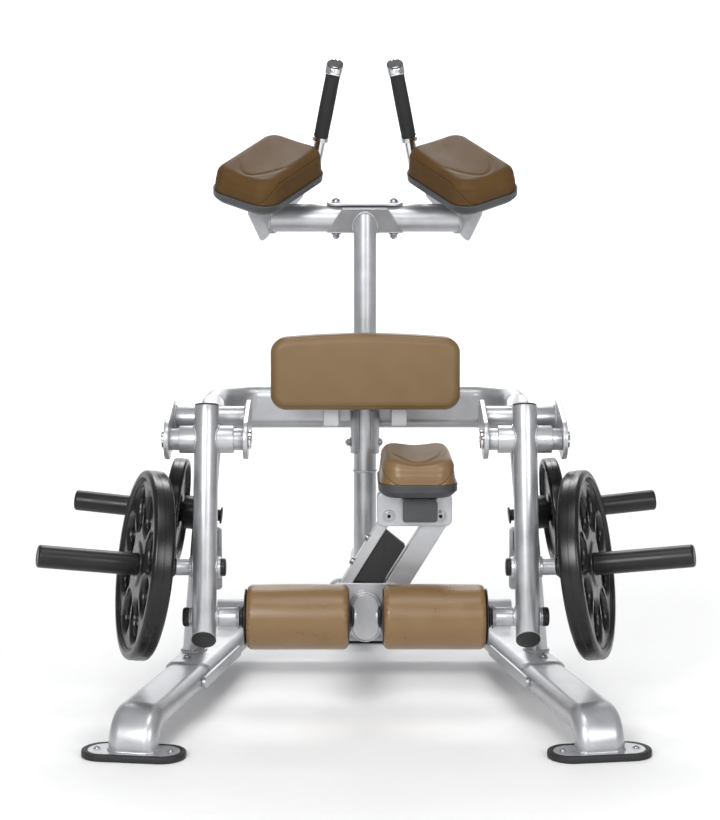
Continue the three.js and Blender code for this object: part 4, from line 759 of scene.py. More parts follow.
def build_arms(p):
    """Arms ahead of their hubs and bosses, with their plugs, shafts, roller shafts and roller ends."""
    radius = p.arm_radius * METRE
    flat = circle(radius, 96)
    across = laid(flat, 0, X, ARM_FRONT)
    mitre = flat[:, 1:] * math.tan(math.radians(30))
    axis, foot_down = PIVOT + ARM_FRONT * AHEAD, 414

    def level(far, share):
        return axis + across * share + ARM_DOWN * far

    def cut(inward, up, down=foot_down):
        share = 1 - inward / radius
        return axis + across * share + ARM_DOWN * (down - up - mitre * share)

    rings = [level(*row) for row in ((-69.6, 0.7), (-69.6, 0.93), (-69.9, 0.965), (-69.6, 0.99), (-68.8, 1),
                                     (-40, 1))]
    rings += [cut(*row) for row in ((0, 2.0), (0.4, 0.6), (1.4, 0), (8, 0), (24, 0))]
    hub, roller_boss, load_boss = 29, 19.5, 22
    hub_half, spacer, spacer_half = X * 57, 23, X * 77
    shapes = [skin(rings), tube(hub, PIVOT - hub_half, PIVOT + hub_half, 1.5),
              tube(spacer, PIVOT - spacer_half, PIVOT + spacer_half, 0.5),
              tube(roller_boss, arm_at(ROLLER_DOWN, 304), arm_at(ROLLER_DOWN, 366), 1.2),
              tube(load_boss, arm_at(LOAD_DOWN, 301.5), arm_at(LOAD_DOWN, 367), 1.2)]
    # Welds where the arm crosses its hub and bosses: both cylinders' surfaces meet there
    for distance, boss in ((0, hub), (ROLLER_DOWN, roller_boss), (LOAD_DOWN, load_boss)):
        limit = math.acos(max(-1.0, (AHEAD - radius) / boss)) - 0.02
        line = arc(np.linspace(-limit, limit, 90), boss + 0.6)
        out = np.sqrt(np.maximum((radius + 0.6) ** 2 - (line[:, 0] - AHEAD) ** 2, 0.01))
        right, left = (laid(line, arm_at(distance), ARM_FRONT, ARM_DOWN) + np.outer(way * out, X)
                       for way in (1, -1))
        shapes.append(bead(np.concatenate([right, left[::-1]]), 2.0))
    pair("arm", shapes, "silver", ARM)
    plug = [cut(inward, -up, foot_down + SEAT) for inward, up in (
        (6, -0.3), (0.4, 0.3), (0, 1.0), (0, 2.6), (1.0, 4.0), (3, 5.0), (7, 6.0), (14, 6.8), (24, 7.2))]
    pair("arm_end_plug", skin(plug), "rubber", ARM)
    top = [(-66, 20), (-70.2, 22), (-70.3, 24.6), (-70.8, 25.2), (-72, 25.0), (-73.4, 22.6), (-74.6, 17),
           (-75.2, 9), (-75.4, 1)]
    pair("arm_top_plug", skin([level(far, r / radius) for far, r in reversed(top)]), "rubber", ARM, ADDED)
    # Rows of distance and radius, here and below
    cap = [(0, 2), (0.1, 6), (1.2, 6.6), (1.4, 12), (0.6, 15), (1.2, 18.2), (3, 20), (7.4, 20), (8, 19),
           (8, 10)]
    cap_out, shaft_radius = X * 95.8, 10
    pair("pivot_shaft", [turned(cap, PIVOT - cap_out, X), turned(cap, PIVOT + cap_out, -X),
                         tube(shaft_radius, arm_at(0, 240), arm_at(0, 427.2))], "chrome")
    axle = arm_at(ROLLER_DOWN, 0)
    sleeve = [(20, 6), (20, 12.5), (261.5, 12.5), (261.5, 23.4), (262.3, 24.2), (264.2, 23.6), (266.4, 21.2),
              (270, 19.7), (303, 19.5), (303.7, 18.8), (303.7, 12.5), (366.2, 12.5)]
    pair("roller_shaft", turned(sleeve, axle, X), "silver", ARM)
    outer = [(366.2, 4), (366.3, 18.8), (367, 19.8), (375, 19.8), (378, 18.6), (379.3, 16), (379.5, 9),
             (378.6, 8.4), (378.5, 2)]
    pair("roller_shaft_cap", turned(outer, axle, X), "horn", ARM, ADDED)
    # A dished end disc: from the boss out to the rim its face falls away like a quarter wave
    disc, dish, boss, rim = [(0, 12.6), (0.2, 17), (1.6, 18.4), (2.0, 22)], 8.4, 22, 58
    disc += [(5.2 + dish * math.sin(math.pi / 2 * t), boss + (rim - boss) * t)
             for t in np.linspace(0, 1, 12)[:-1]]
    disc += [(12.6, 58), (10.5, 58), (11.4, 57.6), (12.4, 55), (12.6, 24)]
    inner_end, outer_end, core = 24, 261, 22
    pair("roller_ends", [turned([(inner_end + far, r) for far, r in disc], axle, X),
                         turned([(outer_end - far, r) for far, r in reversed(disc)], axle, X),
                         tube(core, axle + X * 35, axle + X * 250)], "horn", ROLLER, "roller_core_{side}")


def build_rollers(p):
    """Roller pads: a round of vinyl over foam, drawn in at the ends with small puckers and a seam along it."""
    size = p.roller_radius * METRE
    start, end, draw = 36, 246, 13
    spin = np.linspace(0, 2 * math.pi, 360, endpoint=False)
    shoulder = fillet(draw, size - 12, -draw, 12, 14)[::-1]
    rows = [(34.4, 40.0), (34.6, 50.0)] + [(start + far, r) for far, r in shoulder]
    rows += [(x, size + 0.5 * math.sin(math.pi * (x - 52) / 178)) for x in np.linspace(52, 230, 60)]
    rows += [(end - far, r) for far, r in reversed(shoulder)] + [(247.4, 50.0), (247.6, 40.0)]
    place, radius = np.hsplit(np.array(rows), 2)
    edge = np.minimum(np.abs(place - 35), np.abs(place - 247))
    folds = np.abs(np.sin(spin * 14 + 0.4 * np.sin(spin * 5))) - 0.6
    pucker = 1.5 * np.exp(-((edge - 3) / 6) ** 2) * folds
    wave = 0.35 * np.sin(spin * 3 + place * 0.03) * np.exp(-((edge - 60) / 60) ** 2)
    away = (spin - math.radians(330) + math.pi) % (2 * math.pi) - math.pi
    seam = -1.6 * np.exp(-(away * size / 1.6) ** 2) * (radius > size - 8)
    around = laid(arc(spin, 1.0), 0, Y, Z)
    rings = (arm_at(ROLLER_DOWN, 0) + place[:, :, None] * X
             + (radius + pucker + wave + seam)[:, :, None] * around)
    for made in pair("roller_pad", skin(rings), "roller_vinyl", ROLLER):
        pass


def build_plates(p):
    """Load horns with their stubs, load plates with oval openings, and the storage plates."""
    load, kink = arm_at(LOAD_DOWN, 0), arm_at(LOAD_DOWN, 400)
    cap = [(290.6, 2), (290.8, 12.5), (291.6, 16.4), (293.6, 18.4), (300.4, 18.5), (301.2, 17.8), (301.2, 14)]
    pair("load_stub_cap", turned(cap, load, X), "horn", ARM, ADDED)
    stub = [(301.3, 14), (301.3, 16.7), (404, 16.7), (405, 14)]
    pair("load_stub", turned(stub, load, X), "silver", ARM, ADDED)
    horn = [(-3, 2), (-3, 17.5), (0, 20.3), (3, 23.3), (30, 23.3), (30, 34.8), (31.2, 36), (38.8, 36), (40, 34.8),
            (40, 23.3)]
    horn += fillet(278, 17.3, 6, 6) + [(284, 14), (283.6, 13.4), (283.5, 2)]
    pair("load_horn", turned(horn, kink, HORN_ALONG), "horn", ARM)
    collar_end = kink + HORN_ALONG * (40 + SEAT)
    load_plate = wheel(p.load_plate_radius * METRE, 44, 17, 30, 46, 23.8, collar_end, HORN_ALONG, 7.0,
                       openings=(8, 118, 84, 68, 30.6, 12))
    pair("load_plate", load_plate, "plate", "load_plate_{side}_assembly")
    start = store_at(STORE_COLLAR_END) + STORE_ALONG * SEAT
    pair("storage_plate", wheel(115, 32, 12, 14, 40, 22.5, start, STORE_ALONG, 5.0), "plate",
         "storage_plate_{side}_assembly")


def elbow_axes():
    """The right elbow pad's place on its tray, and its outward, far and up directions."""
    toe, pitch, roll = math.radians(33), math.radians(21.5), math.radians(18)
    flat = np.array([-math.sin(toe), math.cos(toe), 0])
    far = flat * math.cos(pitch) + Z * math.sin(pitch)
    out_flat = np.cross(flat, Z)
    out = out_flat * math.cos(roll) + np.cross(out_flat, far) * math.sin(roll)
    return at(212, 200, 1133.5), out, far, np.cross(out, far)


def build_crossbar(p):
    """Crossbar with its mast saddle, end gussets and handle sockets; clamp plate and bolts."""
    radius = p.crossbar_radius * METRE
    origin, out, far, up = elbow_axes()
    bar_half, gusset_thick, tray_deep = 200, 6, 27.3
    corner = origin + out * ((BAR_AXIS + X * bar_half - origin) @ out - gusset_thick / 2) - up * tray_deep
    outline = softened([(-66, 0), (-70, -30), (-13, -120), (3, -120), (157, -75), (165, -40), (123, 0)], 9)
    gusset = slab(outline, gusset_thick, corner, far, up, 1.0)
    socket = turned([(-11, 12), (-11, 15), (-10, 16), (10, 16), (11, 15), (11, 12)], HANDLE_FOOT, HANDLE_ALONG)
    link_foot = corner + far * 149 - up * 57.5
    link = shank(9, link_foot + out * 3, HANDLE_FOOT)
    reach = HANDLE_FOOT - link_foot
    link_weld = ring_path(HANDLE_FOOT - unit(reach) * 15.5, reach, 9.5)

    def end_ring(side, grow, deep):
        ring = ring_path(BAR_AXIS, X, radius + grow)
        ring[:, 0] = -side * ((ring - corner) @ out - deep) / out[0]
        return ring

    right = together(gusset, socket, link, bead(end_ring(1, 0.6, 0), 3.2), bead(link_weld, 2))
    tube_body = skin([end_ring(-1, 0, 3.0), end_ring(1, 0, 3.0)])
    down = np.array([0, math.cos(MAST_CUT), -math.sin(MAST_CUT)])
    peak = at(0, 238.6, MAST_PEAK)
    sheet = slab(np.array([(-49.5, 10), (-85, -58), (85, -58), (49.5, 10)]), 5, peak, -X, -down, 1.0)
    floor = slab(round_box(170, 41.8, 3), 5, at(0, 297, 1016.75), X, Y, 1.0)
    arch = ring_path(MAST, Z, TUBE + 1.2, 220)
    arch[:, 2] = MAST_PEAK - (arch[:, 1] - peak[1]) * math.tan(MAST_CUT) - 1.5
    piece("crossbar", [tube_body, sheet, floor, bead(arch, 2.6), right, mirrored(right, -1)], "silver")
    tilt = math.radians(12)
    rise = np.array([0, -math.sin(tilt), math.cos(tilt)])
    clamp = slab(round_box(171, 50, 22), 5, BAR_AXIS + rise * (radius + SEAT), X, np.cross(rise, X), 1.1)
    piece("clamp_plate", clamp, "silver")
    bolt, head_up, nut_down = BAR_AXIS + X * 65, rise * (radius + 5.4), rise * (radius + 5.6)
    pair("clamp_bolt", [bolt_head(bolt + head_up, rise, 9.5, 8), hex_nut(bolt - nut_down, -rise, 9, 8),
                        shank(5, bolt - nut_down - rise * 2.4, bolt + head_up + rise * 0.6)], "zinc")


def build_handles(p):
    """Handles: plated tube and ridged collar, pebbled grip, slanted cap with a set screw."""
    def up(far):
        return HANDLE_FOOT + HANDLE_ALONG * far

    collar, ridge, groove = 85.9, 19, 18.2
    rows = [(-9.5, 9), (-9, 12.7), (83.5, 12.7), (83.5, 17.6), (84.5, ridge)]
    rows += [(collar + 2.6 * k + far, r) for k in range(3)
             for far, r in ((0, ridge), (0.6, groove), (1.4, groove), (2.0, ridge))]
    rows += [(92.9, ridge), (93.5, groove), (93.5, 12.7), (256.8, 12.7), (257.3, 6)]
    pair("handle_tube", turned(rows, HANDLE_FOOT, HANDLE_ALONG), "chrome")
    rows = [(93.8, 13.2), (93.9, 15.6), (95.4, 16.8), (98.4, 16.9), (100, 16.2)]
    rows += [(x, 16.2 + 0.5 * math.sin(math.pi * (x - 99) / 133)) for x in np.linspace(101, 230, 24)]
    rows += [(232.4, 16.2), (234, 16.9), (236.4, 16.8), (237.7, 15.6), (237.8, 13.2)]
    pair("handle_grip", turned(rows, HANDLE_FOOT, HANDLE_ALONG), "grip")
    slant = turned_about(turned_about(HANDLE_ALONG, X, math.radians(27)), Y, math.radians(8))
    level = HANDLE_ALONG @ slant * (271.3 - 19 * math.tan(math.radians(28)))
    rise = unit(X - HANDLE_ALONG * HANDLE_ALONG[0])
    across = laid(circle(1.0), 0, np.cross(rise, HANDLE_ALONG), rise)

    def sloped(radius, sink):
        ring = across * radius
        return up(((level - ring @ slant) / (HANDLE_ALONG @ slant) - sink)[:, None]) + ring

    rings = [up(far) + across * r for far, r in (
        (238.1, 13.4), (238.1, 17.8), (239.3, 19), (241.5, 19), (242.1, 18.5), (242.9, 18.5), (243.5, 19))]
    rings += [sloped(*row) for row in (
        (19, 2.0), (18.8, 0.7), (18.3, 0.0), (17.6, 0.0), (17.3, 0.8), (17.1, 2.4), (1.0, 2.4))]
    pair("handle_cap", skin(rings), "chrome")
    face = [sloped(*row) for row in ((16.9, 2.3), (16.9, 0.9), (16.3, 0.4), (8.0, 0.1), (0.5, 0.0))]
    pair("handle_cap_face", skin(face), "tray", stands_for=ADDED)
    facing = unit(HANDLE_ALONG * HANDLE_ALONG[1] - Y)
    screw = turned([(-1, 3.4), (0.5, 3.4), (0.9, 3.0), (0.9, 1.7), (0.1, 1.5), (0.0, 0.2)],
                   up(247) + facing * 18.8, facing, SMALL_ROUND)
    pair("handle_screw", screw, "zinc", stands_for=ADDED)


def cushion_rings(outline, rows, top, origin, across, ahead):
    """Side rows of inset and height, then rings shrinking to the middle, the flat point giving the height there.
    The top's shape grows in over the side with the cube of the height."""
    low, high = rows[0][1], rows[-1][1]
    flats = [(inset(outline, inward), height) for inward, height in rows]
    rings = [laid(flat, origin, across, ahead, height + top(flat) * ((height - low) / (high - low)) ** 3)
             for flat, height in flats]
    last = flats[-1][0]
    rings += [laid(last * share, origin, across, ahead, high + top(last * share))
              for share in np.linspace(1, 0.012, 60)[1:]]
    return np.array(rings)


def along_side(rings, rows, columns, heights):
    """The path over a cushion's side rows: in each given column, the point at the given row height."""
    levels = np.array([height for _, height in rows])
    return np.array([[np.interp(height, levels, rings[:len(rows), column, k]) for k in range(3)]
                     for column, height in zip(columns, np.broadcast_to(heights, len(columns)))])


def moulded_pad(high, origin, across, ahead, fold, dip, ramp):
    """A moulded pad and its stitches: drafted sides, a round shoulder, a trough from end to end with a pressed
    crease round its near end, a bulged near face, and a seam round the sides that sweeps down at the near
    corners."""
    outline = fine_outline(*PAD_OUTLINE, 440)
    draft, crown = 4.2, 24
    rows = [(7, 0.3), (2.2, 0.5), (0.5, 2.0), (0, 4.0)]
    rows += [(draft * t, 4 + 30 * t) for t in np.linspace(0.05, 1, 20)]
    rows += [(draft + 23 * (1 - math.cos(a)), high + crown * (math.sin(a) - 1))
             for a in np.linspace(0.06, math.pi / 2, 26)]

    def top(flat):
        u, w = flat.T
        near = 1 / (1 + np.exp((w + 70) / 16))
        trough = -dip * (7.0 + 4.5 * near) * np.exp(-(u / 44) ** 2)
        line = (w + 95 - 0.022 * u ** 2) / np.sqrt(1 + (0.044 * u) ** 2)
        crease = -fold * np.exp(-(line / 5.0) ** 2) * np.clip((64 - np.abs(u)) / 16, 0, 1)
        wrinkles = 0.15 * np.sin(u / 7.5 + 1.4 * np.sin(w / 19)) * near
        return trough + crease + ramp * w / 123 + wrinkles

    normal = np.cross(across, ahead)
    rings = cushion_rings(outline, rows, top, origin, across, ahead)
    u, w, level = (rings - origin) @ across, (rings - origin) @ ahead, (rings - origin) @ normal
    bulge = 4.5 * np.exp(-((level - 21) / 13) ** 2) * np.clip(1 - (np.abs(u) / 74) ** 4, 0, 1)
    rings = rings - (bulge / (1 + np.exp((w + 96) / 4)))[:, :, None] * ahead
    # The seam starts 42 mm either side of the near middle and has climbed to 44 mm after 68 mm more
    run = travelled(np.concatenate([outline, outline[:1]]))
    near_middle = np.argmin(outline[:, 1] * 10 + np.abs(outline[:, 0]))
    travel = (run[:-1] - run[near_middle]) % run[-1]
    order = np.argsort(travel)
    away = np.minimum(travel, run[-1] - travel)[order]
    order, away = order[away >= 42], away[away >= 42]
    climb = np.clip((away - 42) / 68, 0, 1)
    height = 3.0 + 41.0 * climb ** 2 * (3 - 2 * climb)
    seam, thread = (along_side(rings, rows, order, height - under) for under in (0, 3.0))
    out = thread - origin
    out = units(out - np.outer(out @ normal, normal))
    return skin(pressed(rings, seam, 1.7, 1.7, 0.5)), stitches(thread + out * 0.15, out)


def tray(origin, across, ahead):
    """A moulded tray: narrow flat base, curved flank, and an upright band with a thin lip at its rim."""
    rows = [(24, -27), (16, -26.6), (9.6, -24.3), (4, -20), (1.0, -16.5), (-2.2, -13.8), (-3, -12.2), (-3, -2.0),
            (-3.6, -1.2), (-3.6, 0.8), (-2.8, 1.8), (-1.2, 1.9), (0.4, 1.2), (0.8, -1)]
    return stack(fine_outline(*PAD_OUTLINE, 240), rows, origin, across, ahead)


def build_elbow_pads(p):
    """Elbow pads in their trays."""
    origin, out, far, _ = elbow_axes()
    shape, thread = moulded_pad(p.pad_height * METRE, origin, out, far, fold=1.3, dip=0.3, ramp=4.0)
    for made in pair("elbow_pad", shape, "pad_vinyl", sharp=SOFT):
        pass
    pair("elbow_pad_stitches", thread, "thread", stands_for=ADDED)
    pair("elbow_tray", tray(origin, out, far), "tray")


def build_thigh(p):
    """Thigh pad with its stitch lines, board and brackets."""
    wide, tall = p.thigh_width * METRE, p.thigh_height * METRE
    outline = fine_outline(wide, tall, 33, 560)
    # The upper edge is crowned: highest in the middle, lower toward the corners
    upper = np.clip(outline[:, 1] / (tall / 2), 0, 1)
    outline[:, 1] += upper * (5.0 - 11.0 * (outline[:, 0] / (wide / 2)) ** 2)

    def face(flat):
        u, w = flat.T
        crown = 3.0 * (1 - (u / 210) ** 2) * (1 - (w / 90) ** 2) - 3
        return crown + 0.12 * np.sin(u / 17 + 1.2 * np.sin(w / 21))

    rows = [(8, 0.2), (3, 0.4), (0.6, 2), (0, 5)] + [(-0.8 * t, 5 + 33 * t) for t in np.linspace(0.05, 1, 16)]
    rows += fillet(20, 40, -20, 20, 20)[::-1]
    back = at(0, 170, 714.5)
    rings = cushion_rings(outline, rows, face, back, X, Z)

    def edge(sign, reach, height):
        columns = np.flatnonzero((sign * outline[:, 1] > 0) & (np.abs(outline[:, 0]) < reach))
        return along_side(rings, rows, columns[np.argsort(outline[columns, 0])], height)

    seam, lower, under = edge(1, 192, 50.0), edge(-1, 184, 54.5), edge(-1, 184, 50.0)
    join = np.linspace(back + (0, -60, -80), back + (0, -60, -66), 12)
    for line, depth, width, welt in ((seam, 1.3, 1.6, 0.3), (lower, 1.3, 1.6, 0.3), (join, 0.9, 1.3, 0)):
        rings = pressed(rings, line, depth, width, welt)
    piece("thigh_pad", skin(rings), "thigh_vinyl", sharp=SOFT)
    threads = []
    for line, lean, rise in ((seam, 0.7, -3.0), (lower, -0.6, 3.0), (under, -0.9, 0.0)):
        way = unit(lean * Z - Y)
        threads.append(stitches(line + way * 0.1 + Z * rise, way))
    piece("thigh_pad_stitches", threads, "thread", stands_for=ADDED)
    margin, board_thick, bracket_x, bracket_wide = 28, 12, 75, 34
    outline = round_box(wide - margin, tall - margin, 18)
    board = slab(outline, board_thick, back + Y * (board_thick + SEAT), X, Z, 1.4)
    brackets = [slab(round_box(bracket_wide, high, 4), deep, at(sign * bracket_x, y, z), X, Z, 1.4)
                for sign in (-1, 1) for high, deep, y, z in ((158, 36, 212.3, 671), (56, 92, 289.4, 620))]
    piece("thigh_pad_board", [board, *brackets], "silver")


def knee_pins(places):
    """Pins through both plates: washer and flat bolt with a deep socket on the near plate, and a shank."""
    head = [(0, 13.4), (1.4, 13.4), (2.0, 12.8), (2.0, 9.6), (2.2, 9.2), (4.6, 9.2), (5.4, 8.4), (5.4, 5.0),
            (2.6, 4.6), (2.5, 0.3)]
    return [shape for place in places for shape in (
        turned(head, place, -Y, SMALL_ROUND), shank(8, place, place + Y * 58))]


def knee_socket_shades(places):
    """Painted shade: near-black six-sided shapes sunk in the pins' sockets, standing in for the shade inside
    them.
    """
    return [turned([(2.6, 4.3), (3.0, 4.3), (3.1, 3.6), (3.1, 0.2)], place, -Y, 6) for place in places]


def knee_link(lower, upper, wide, eye):
    """A knee link: a flat bar with a round eye at either end, its edges rounded."""
    far, deep = Y * 51.5, 43
    rise = unit(upper - lower)
    outline = round_box(wide, np.linalg.norm(upper - lower) + wide / 2, wide / 4)
    return [slab(outline, deep, (lower + upper) / 2 + far, np.cross(Y, rise), rise, 1.6),
            *[tube(eye, spot + far - Y * deep, spot + far, 1.2) for spot in (lower, upper)]]


def build_knee(p):
    """Knee base, two links with the bumper, and the carriage with its tray and pad."""
    near, low, high = 40, 245, 415
    foot_left, foot_right, head_left, head_right = (at(x, near, z) for x, z in (
        (-55, low), (55, low), (50, high), (160, high)))

    def two_plates(outline, x, z):
        return [slab(outline, 8, at(x, near + y, z), X, Z, 1.5) for y in (8, 60)]

    piece("knee_base", two_plates(round_box(160, 65, 24), 0, 237.5), "silver")
    piece("knee_base_pins", knee_pins((foot_left, foot_right)), "zinc", stands_for=ADDED)
    # Painted shade: near black in the sockets of the base pins
    piece("knee_base_socket_shades", knee_socket_shades((foot_left, foot_right)), "hollow", stands_for=ADDED)
    left_body = "knee_link_left_assembly"
    piece("knee_link_left", knee_link(foot_left, head_left, 21, 15), "silver", left_body)
    piece("knee_link_right", knee_link(foot_right, head_right, 46.5, 23.2), "silver",
          "knee_link_right_assembly")
    # Bumper along the left link, from across the link and up along it
    rise = unit(head_left - foot_left)
    right = np.cross(Y, rise)
    bumper = softened([(10.8, 36), (65.8, 64), (65.8, 161), (10.8, 168)], 3)
    piece("knee_bumper", slab(bumper, 34, foot_left + Y * 47, right, rise, 2.5), "rubber", left_body)
    head = [(1.6, 6.6), (2.4, 7.4), (6.6, 7.4), (7.6, 6.4), (7.8, 4), (5.6, 3.6), (5.5, 0.4)]
    bolts = []
    for far in (72, 133):
        place = foot_left + rise * far - right * 10.4 + Y * 26
        bolts += [tube(9, place, place - right * 1.6, 0.4, SMALL_ROUND),
                  turned(head, place, -right, SMALL_ROUND)]
    piece("knee_bumper_bolts", bolts, "zinc", left_body, ADDED)
    deck = slab(round_box(132, 58, 3), 8, at(105, 70, 457), X, Y, 1)
    # Rings of inset and Y: the carriage tube's wall turns in at its near mouth
    outer, inner, mouth_mid = round_box(77, 50, 7), round_box(69, 42, 4), at(115, 0, 431.5)
    mouth = [laid(inset(outer, inward), mouth_mid + Y * y, X, Z) for inward, y in (
        (0, 42), (0, 5.2), (0.5, 4.3), (1.4, 4.0), (3.0, 4.0), (3.7, 4.4), (4.0, 5.2), (4.0, 40))]
    piece("knee_carriage", [*two_plates(round_box(160, 72, 14), 105, 429), deck, skin(mouth)], "silver", KNEE)
    plug = [laid(inset(inner, inward), mouth_mid + Y * y, X, Z) for inward, y in (
        (0.3, 30), (0.3, 3.8), (-2.6, 3.7), (-2.6, 2.8), (-2.0, 2.2), (-1.2, 2.0), (0, 2.0), (3.4, 2.0))]
    piece("knee_carriage_plug", skin(plug), "tray", KNEE, ADDED)
    # Painted shade: near black in the sockets of the carriage pins
    piece("knee_carriage_socket_shades", knee_socket_shades((head_left, head_right)), "hollow", KNEE, ADDED)
    piece("knee_carriage_pins", knee_pins((head_left, head_right)), "zinc", KNEE, ADDED)
    origin = at(109.5, 70, 492.3)
    shape, thread = moulded_pad(p.pad_height * METRE + 4, origin, X, Y, fold=4.5, dip=1.0, ramp=6.0)
    piece("knee_pad", shape, "knee_vinyl", KNEE, sharp=SOFT)
    piece("knee_pad_stitches", thread, "thread", KNEE, ADDED)
    piece("knee_tray", tray(origin, X, Y), "tray", KNEE)


def build_stage(p):
    """Pale floor sweeping up into a backdrop, four soft lamps, an even sky and the camera."""
    scene = bpy.context.scene
    half, near, far, bend, tall = 9, -7, 5, 3.0, 6
    turn = quarter(24)[1:]
    y = np.concatenate([np.linspace(near, far, 61), far + bend * np.sin(turn), np.full(12, far + bend)])
    z = np.concatenate([np.zeros(61), bend * (1 - np.cos(turn)), bend + np.linspace(0.3, tall, 12)])
    x = np.linspace(-half, half, 61)
    rings = np.stack(np.broadcast_arrays(x, y[:, None], z[:, None]), axis=-1)
    points, faces = skin(rings, ends=False, around=False)
    mesh = bpy.data.meshes.new("floor")
    mesh.from_pydata(points.tolist(), [], [face[::-1] for face in faces])
    mesh.shade_smooth()
    # Pale matt floor: off-white with a barely seen mottle
    mesh.materials.append(finish("pale_floor", "#F7F7F7", "#FAFAFA", 0.0, (0.75, 0.9), 30.0, 0.1, mottle=700.0,
                                 grip=0.02))
    made = [bpy.data.objects.new("floor", mesh)]
    for name, place, aim, size, share in (
            ("lamp_key", (-1.5, -4.6, 2.4), (0, 0, 0.7), 1.8, 1.0),
            ("lamp_fill", (2.2, -4.2, 2.0), (0, 0, 0.7), 1.8, 0.5),
            ("lamp_top", (0, -1.4, 3.4), (0, 0, 0.5), 1.6, 0.2),
            ("lamp_back", (0, 5.4, 6.0), (0, 6.2, 0), 4.0, 2.6)):
        lamp = bpy.data.lights.new(name, "AREA")
        lamp.shape, lamp.size, lamp.energy = "DISK", size, p.key_power * share
        holder = bpy.data.objects.new(name, lamp)
        holder.location = place
        holder.rotation_euler = (Vector(aim) - Vector(place)).to_track_quat("-Z", "Y").to_euler()
        made.append(holder)
    scene.world = bpy.data.worlds.new("studio_sky")
    scene.world.use_nodes = True
    sky = scene.world.node_tree.nodes["Background"]
    sky.inputs["Color"].default_value = linear("#DDDEE0")
    sky.inputs["Strength"].default_value = p.sky_strength
    scene.view_settings.view_transform = "Standard"
    # The lens looks slightly down and is shifted, as solved from the photograph's round tubes
    lens = bpy.data.cameras.new("camera")
    lens.lens, lens.shift_y, lens.clip_end = 76.47, -0.0878, 60
    scene.camera = bpy.data.objects.new("camera", lens)
    scene.camera.location = p.camera_place
    scene.camera.rotation_euler = (math.radians(90 - 3.709), 0, -0.0036)
    made.append(scene.camera)
    for item in made:
        bpy.context.collection.objects.link(item)


# The add-on

def length(name, default, description):
    """A length property in metres."""
    return FloatProperty(name=name, default=default, min=0.0, description=description, unit="LENGTH",
                         subtype="DISTANCE")


class MachineSizes(bpy.types.PropertyGroup):
    """Sizes of the dressed pieces."""
    leg_width: length("Leg width", 0.1, "Width of the flat oval leg tube")
    leg_height: length("Leg height", 0.05, "Height of the flat oval leg tube")
    mast_radius: length("Mast radius", 0.0254, "Outside radius of the mast")
    post_radius: length("Post radius", 0.0245, "Outside radius of each side post")
    arm_radius: length("Arm radius", 0.0254, "Outside radius of each roller arm")
    roller_radius: length("Roller radius", 0.06675, "Outside radius of each roller pad")
    load_plate_radius: length("Load plate radius", 0.1955, "Outside radius of each load plate")
    crossbar_radius: length("Crossbar radius", 0.03175, "Outside radius of the crossbar")
    pad_height: length("Pad height", 0.058, "Height of the moulded elbow and knee pads")
    thigh_width: length("Thigh pad width", 0.411, "Width of the thigh pad")
    thigh_height: length("Thigh pad height", 0.161, "Height of the thigh pad")


class StageSizes(bpy.types.PropertyGroup):
    """Lights and camera."""
    key_power: FloatProperty(name="Key power", default=130.0, min=0.0, description="Power of the main lamp",
                             unit="POWER")
    sky_strength: FloatProperty(name="Sky strength", default=0.5, min=0.0,
                                description="Brightness of the even sky")
    camera_place: FloatVectorProperty(name="Camera place", default=(-0.0252, -3.847, 1.0352), size=3,
                                      description="Place of the camera", unit="LENGTH", subtype="TRANSLATION")


class BuildOperator:
    """Shared step of the operators: run each builder on its sizes."""
    bl_options = {"REGISTER", "UNDO"}
    sizes = "machine_sizes"

    def execute(self, context):
        for build in self.builders:
            build(getattr(context.scene, self.sizes))
        return {"FINISHED"}


class MACHINE_OT_base(BuildOperator, bpy.types.Operator):
    """Build the legs, feet, spine, mast, yoke and side posts"""
    bl_idname = "machine.base"
    bl_label = "Frame"
    builders = (build_base, build_mast, build_posts)


class MACHINE_OT_arms(BuildOperator, bpy.types.Operator):
    """Build the arms, rollers, horns and weight plates"""
    bl_idname = "machine.arms"
    bl_label = "Arms and plates"
    builders = (build_arms, build_rollers, build_plates)


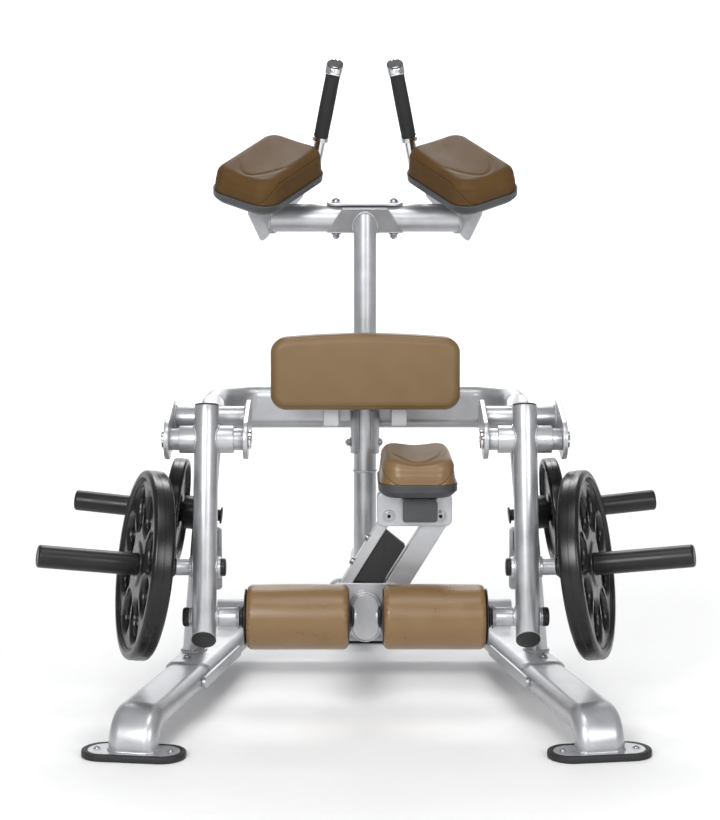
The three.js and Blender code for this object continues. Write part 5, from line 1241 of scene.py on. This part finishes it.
class MACHINE_OT_top(BuildOperator, bpy.types.Operator):
    """Build the crossbar, handles, elbow pads and thigh pad"""
    bl_idname = "machine.top"
    bl_label = "Crossbar, handles and pads"
    builders = (build_crossbar, build_handles, build_elbow_pads, build_thigh)


class MACHINE_OT_knee(BuildOperator, bpy.types.Operator):
    """Build the knee base, links, carriage and pad"""
    bl_idname = "machine.knee"
    bl_label = "Knee carriage"
    builders = (build_knee,)


class MACHINE_OT_stage(BuildOperator, bpy.types.Operator):
    """Build the floor, lamps, sky and camera"""
    bl_idname = "machine.stage"
    bl_label = "Stage"
    builders = (build_stage,)
    sizes = "stage_sizes"


class MACHINE_PT_panel(bpy.types.Panel):
    """Buttons and sizes of the machine"""
    bl_label = "Machine"
    bl_idname = "MACHINE_PT_panel"
    bl_space_type = "VIEW_3D"
    bl_region_type = "UI"
    bl_category = "Machine"

    def draw(self, context):
        for operator in OPERATORS:
            self.layout.operator(operator.bl_idname)
        for group in (context.scene.machine_sizes, context.scene.stage_sizes):
            for name in group.__annotations__:
                self.layout.prop(group, name)


OPERATORS = (MACHINE_OT_base, MACHINE_OT_arms, MACHINE_OT_top, MACHINE_OT_knee, MACHINE_OT_stage)
CLASSES = (MachineSizes, StageSizes, *OPERATORS, MACHINE_PT_panel)


def register():
    """Register the classes and attach the sizes to scenes."""
    for made in CLASSES:
        bpy.utils.register_class(made)
    bpy.types.Scene.machine_sizes = PointerProperty(type=MachineSizes)
    bpy.types.Scene.stage_sizes = PointerProperty(type=StageSizes)


def unregister():
    """Undo register."""
    del bpy.types.Scene.stage_sizes
    del bpy.types.Scene.machine_sizes
    for made in reversed(CLASSES):
        bpy.utils.unregister_class(made)


def main():
    """Build everything in order."""
    register()
    LOOKS.update(finishes())
    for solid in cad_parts.values():
        solid.data.materials.clear()
        solid.data.materials.append(LOOKS["silver"][1])
    for operator in OPERATORS:
        group, _, action = operator.bl_idname.partition(".")
        getattr(getattr(bpy.ops, group), action)()


if __name__ == "__main__":
    main()
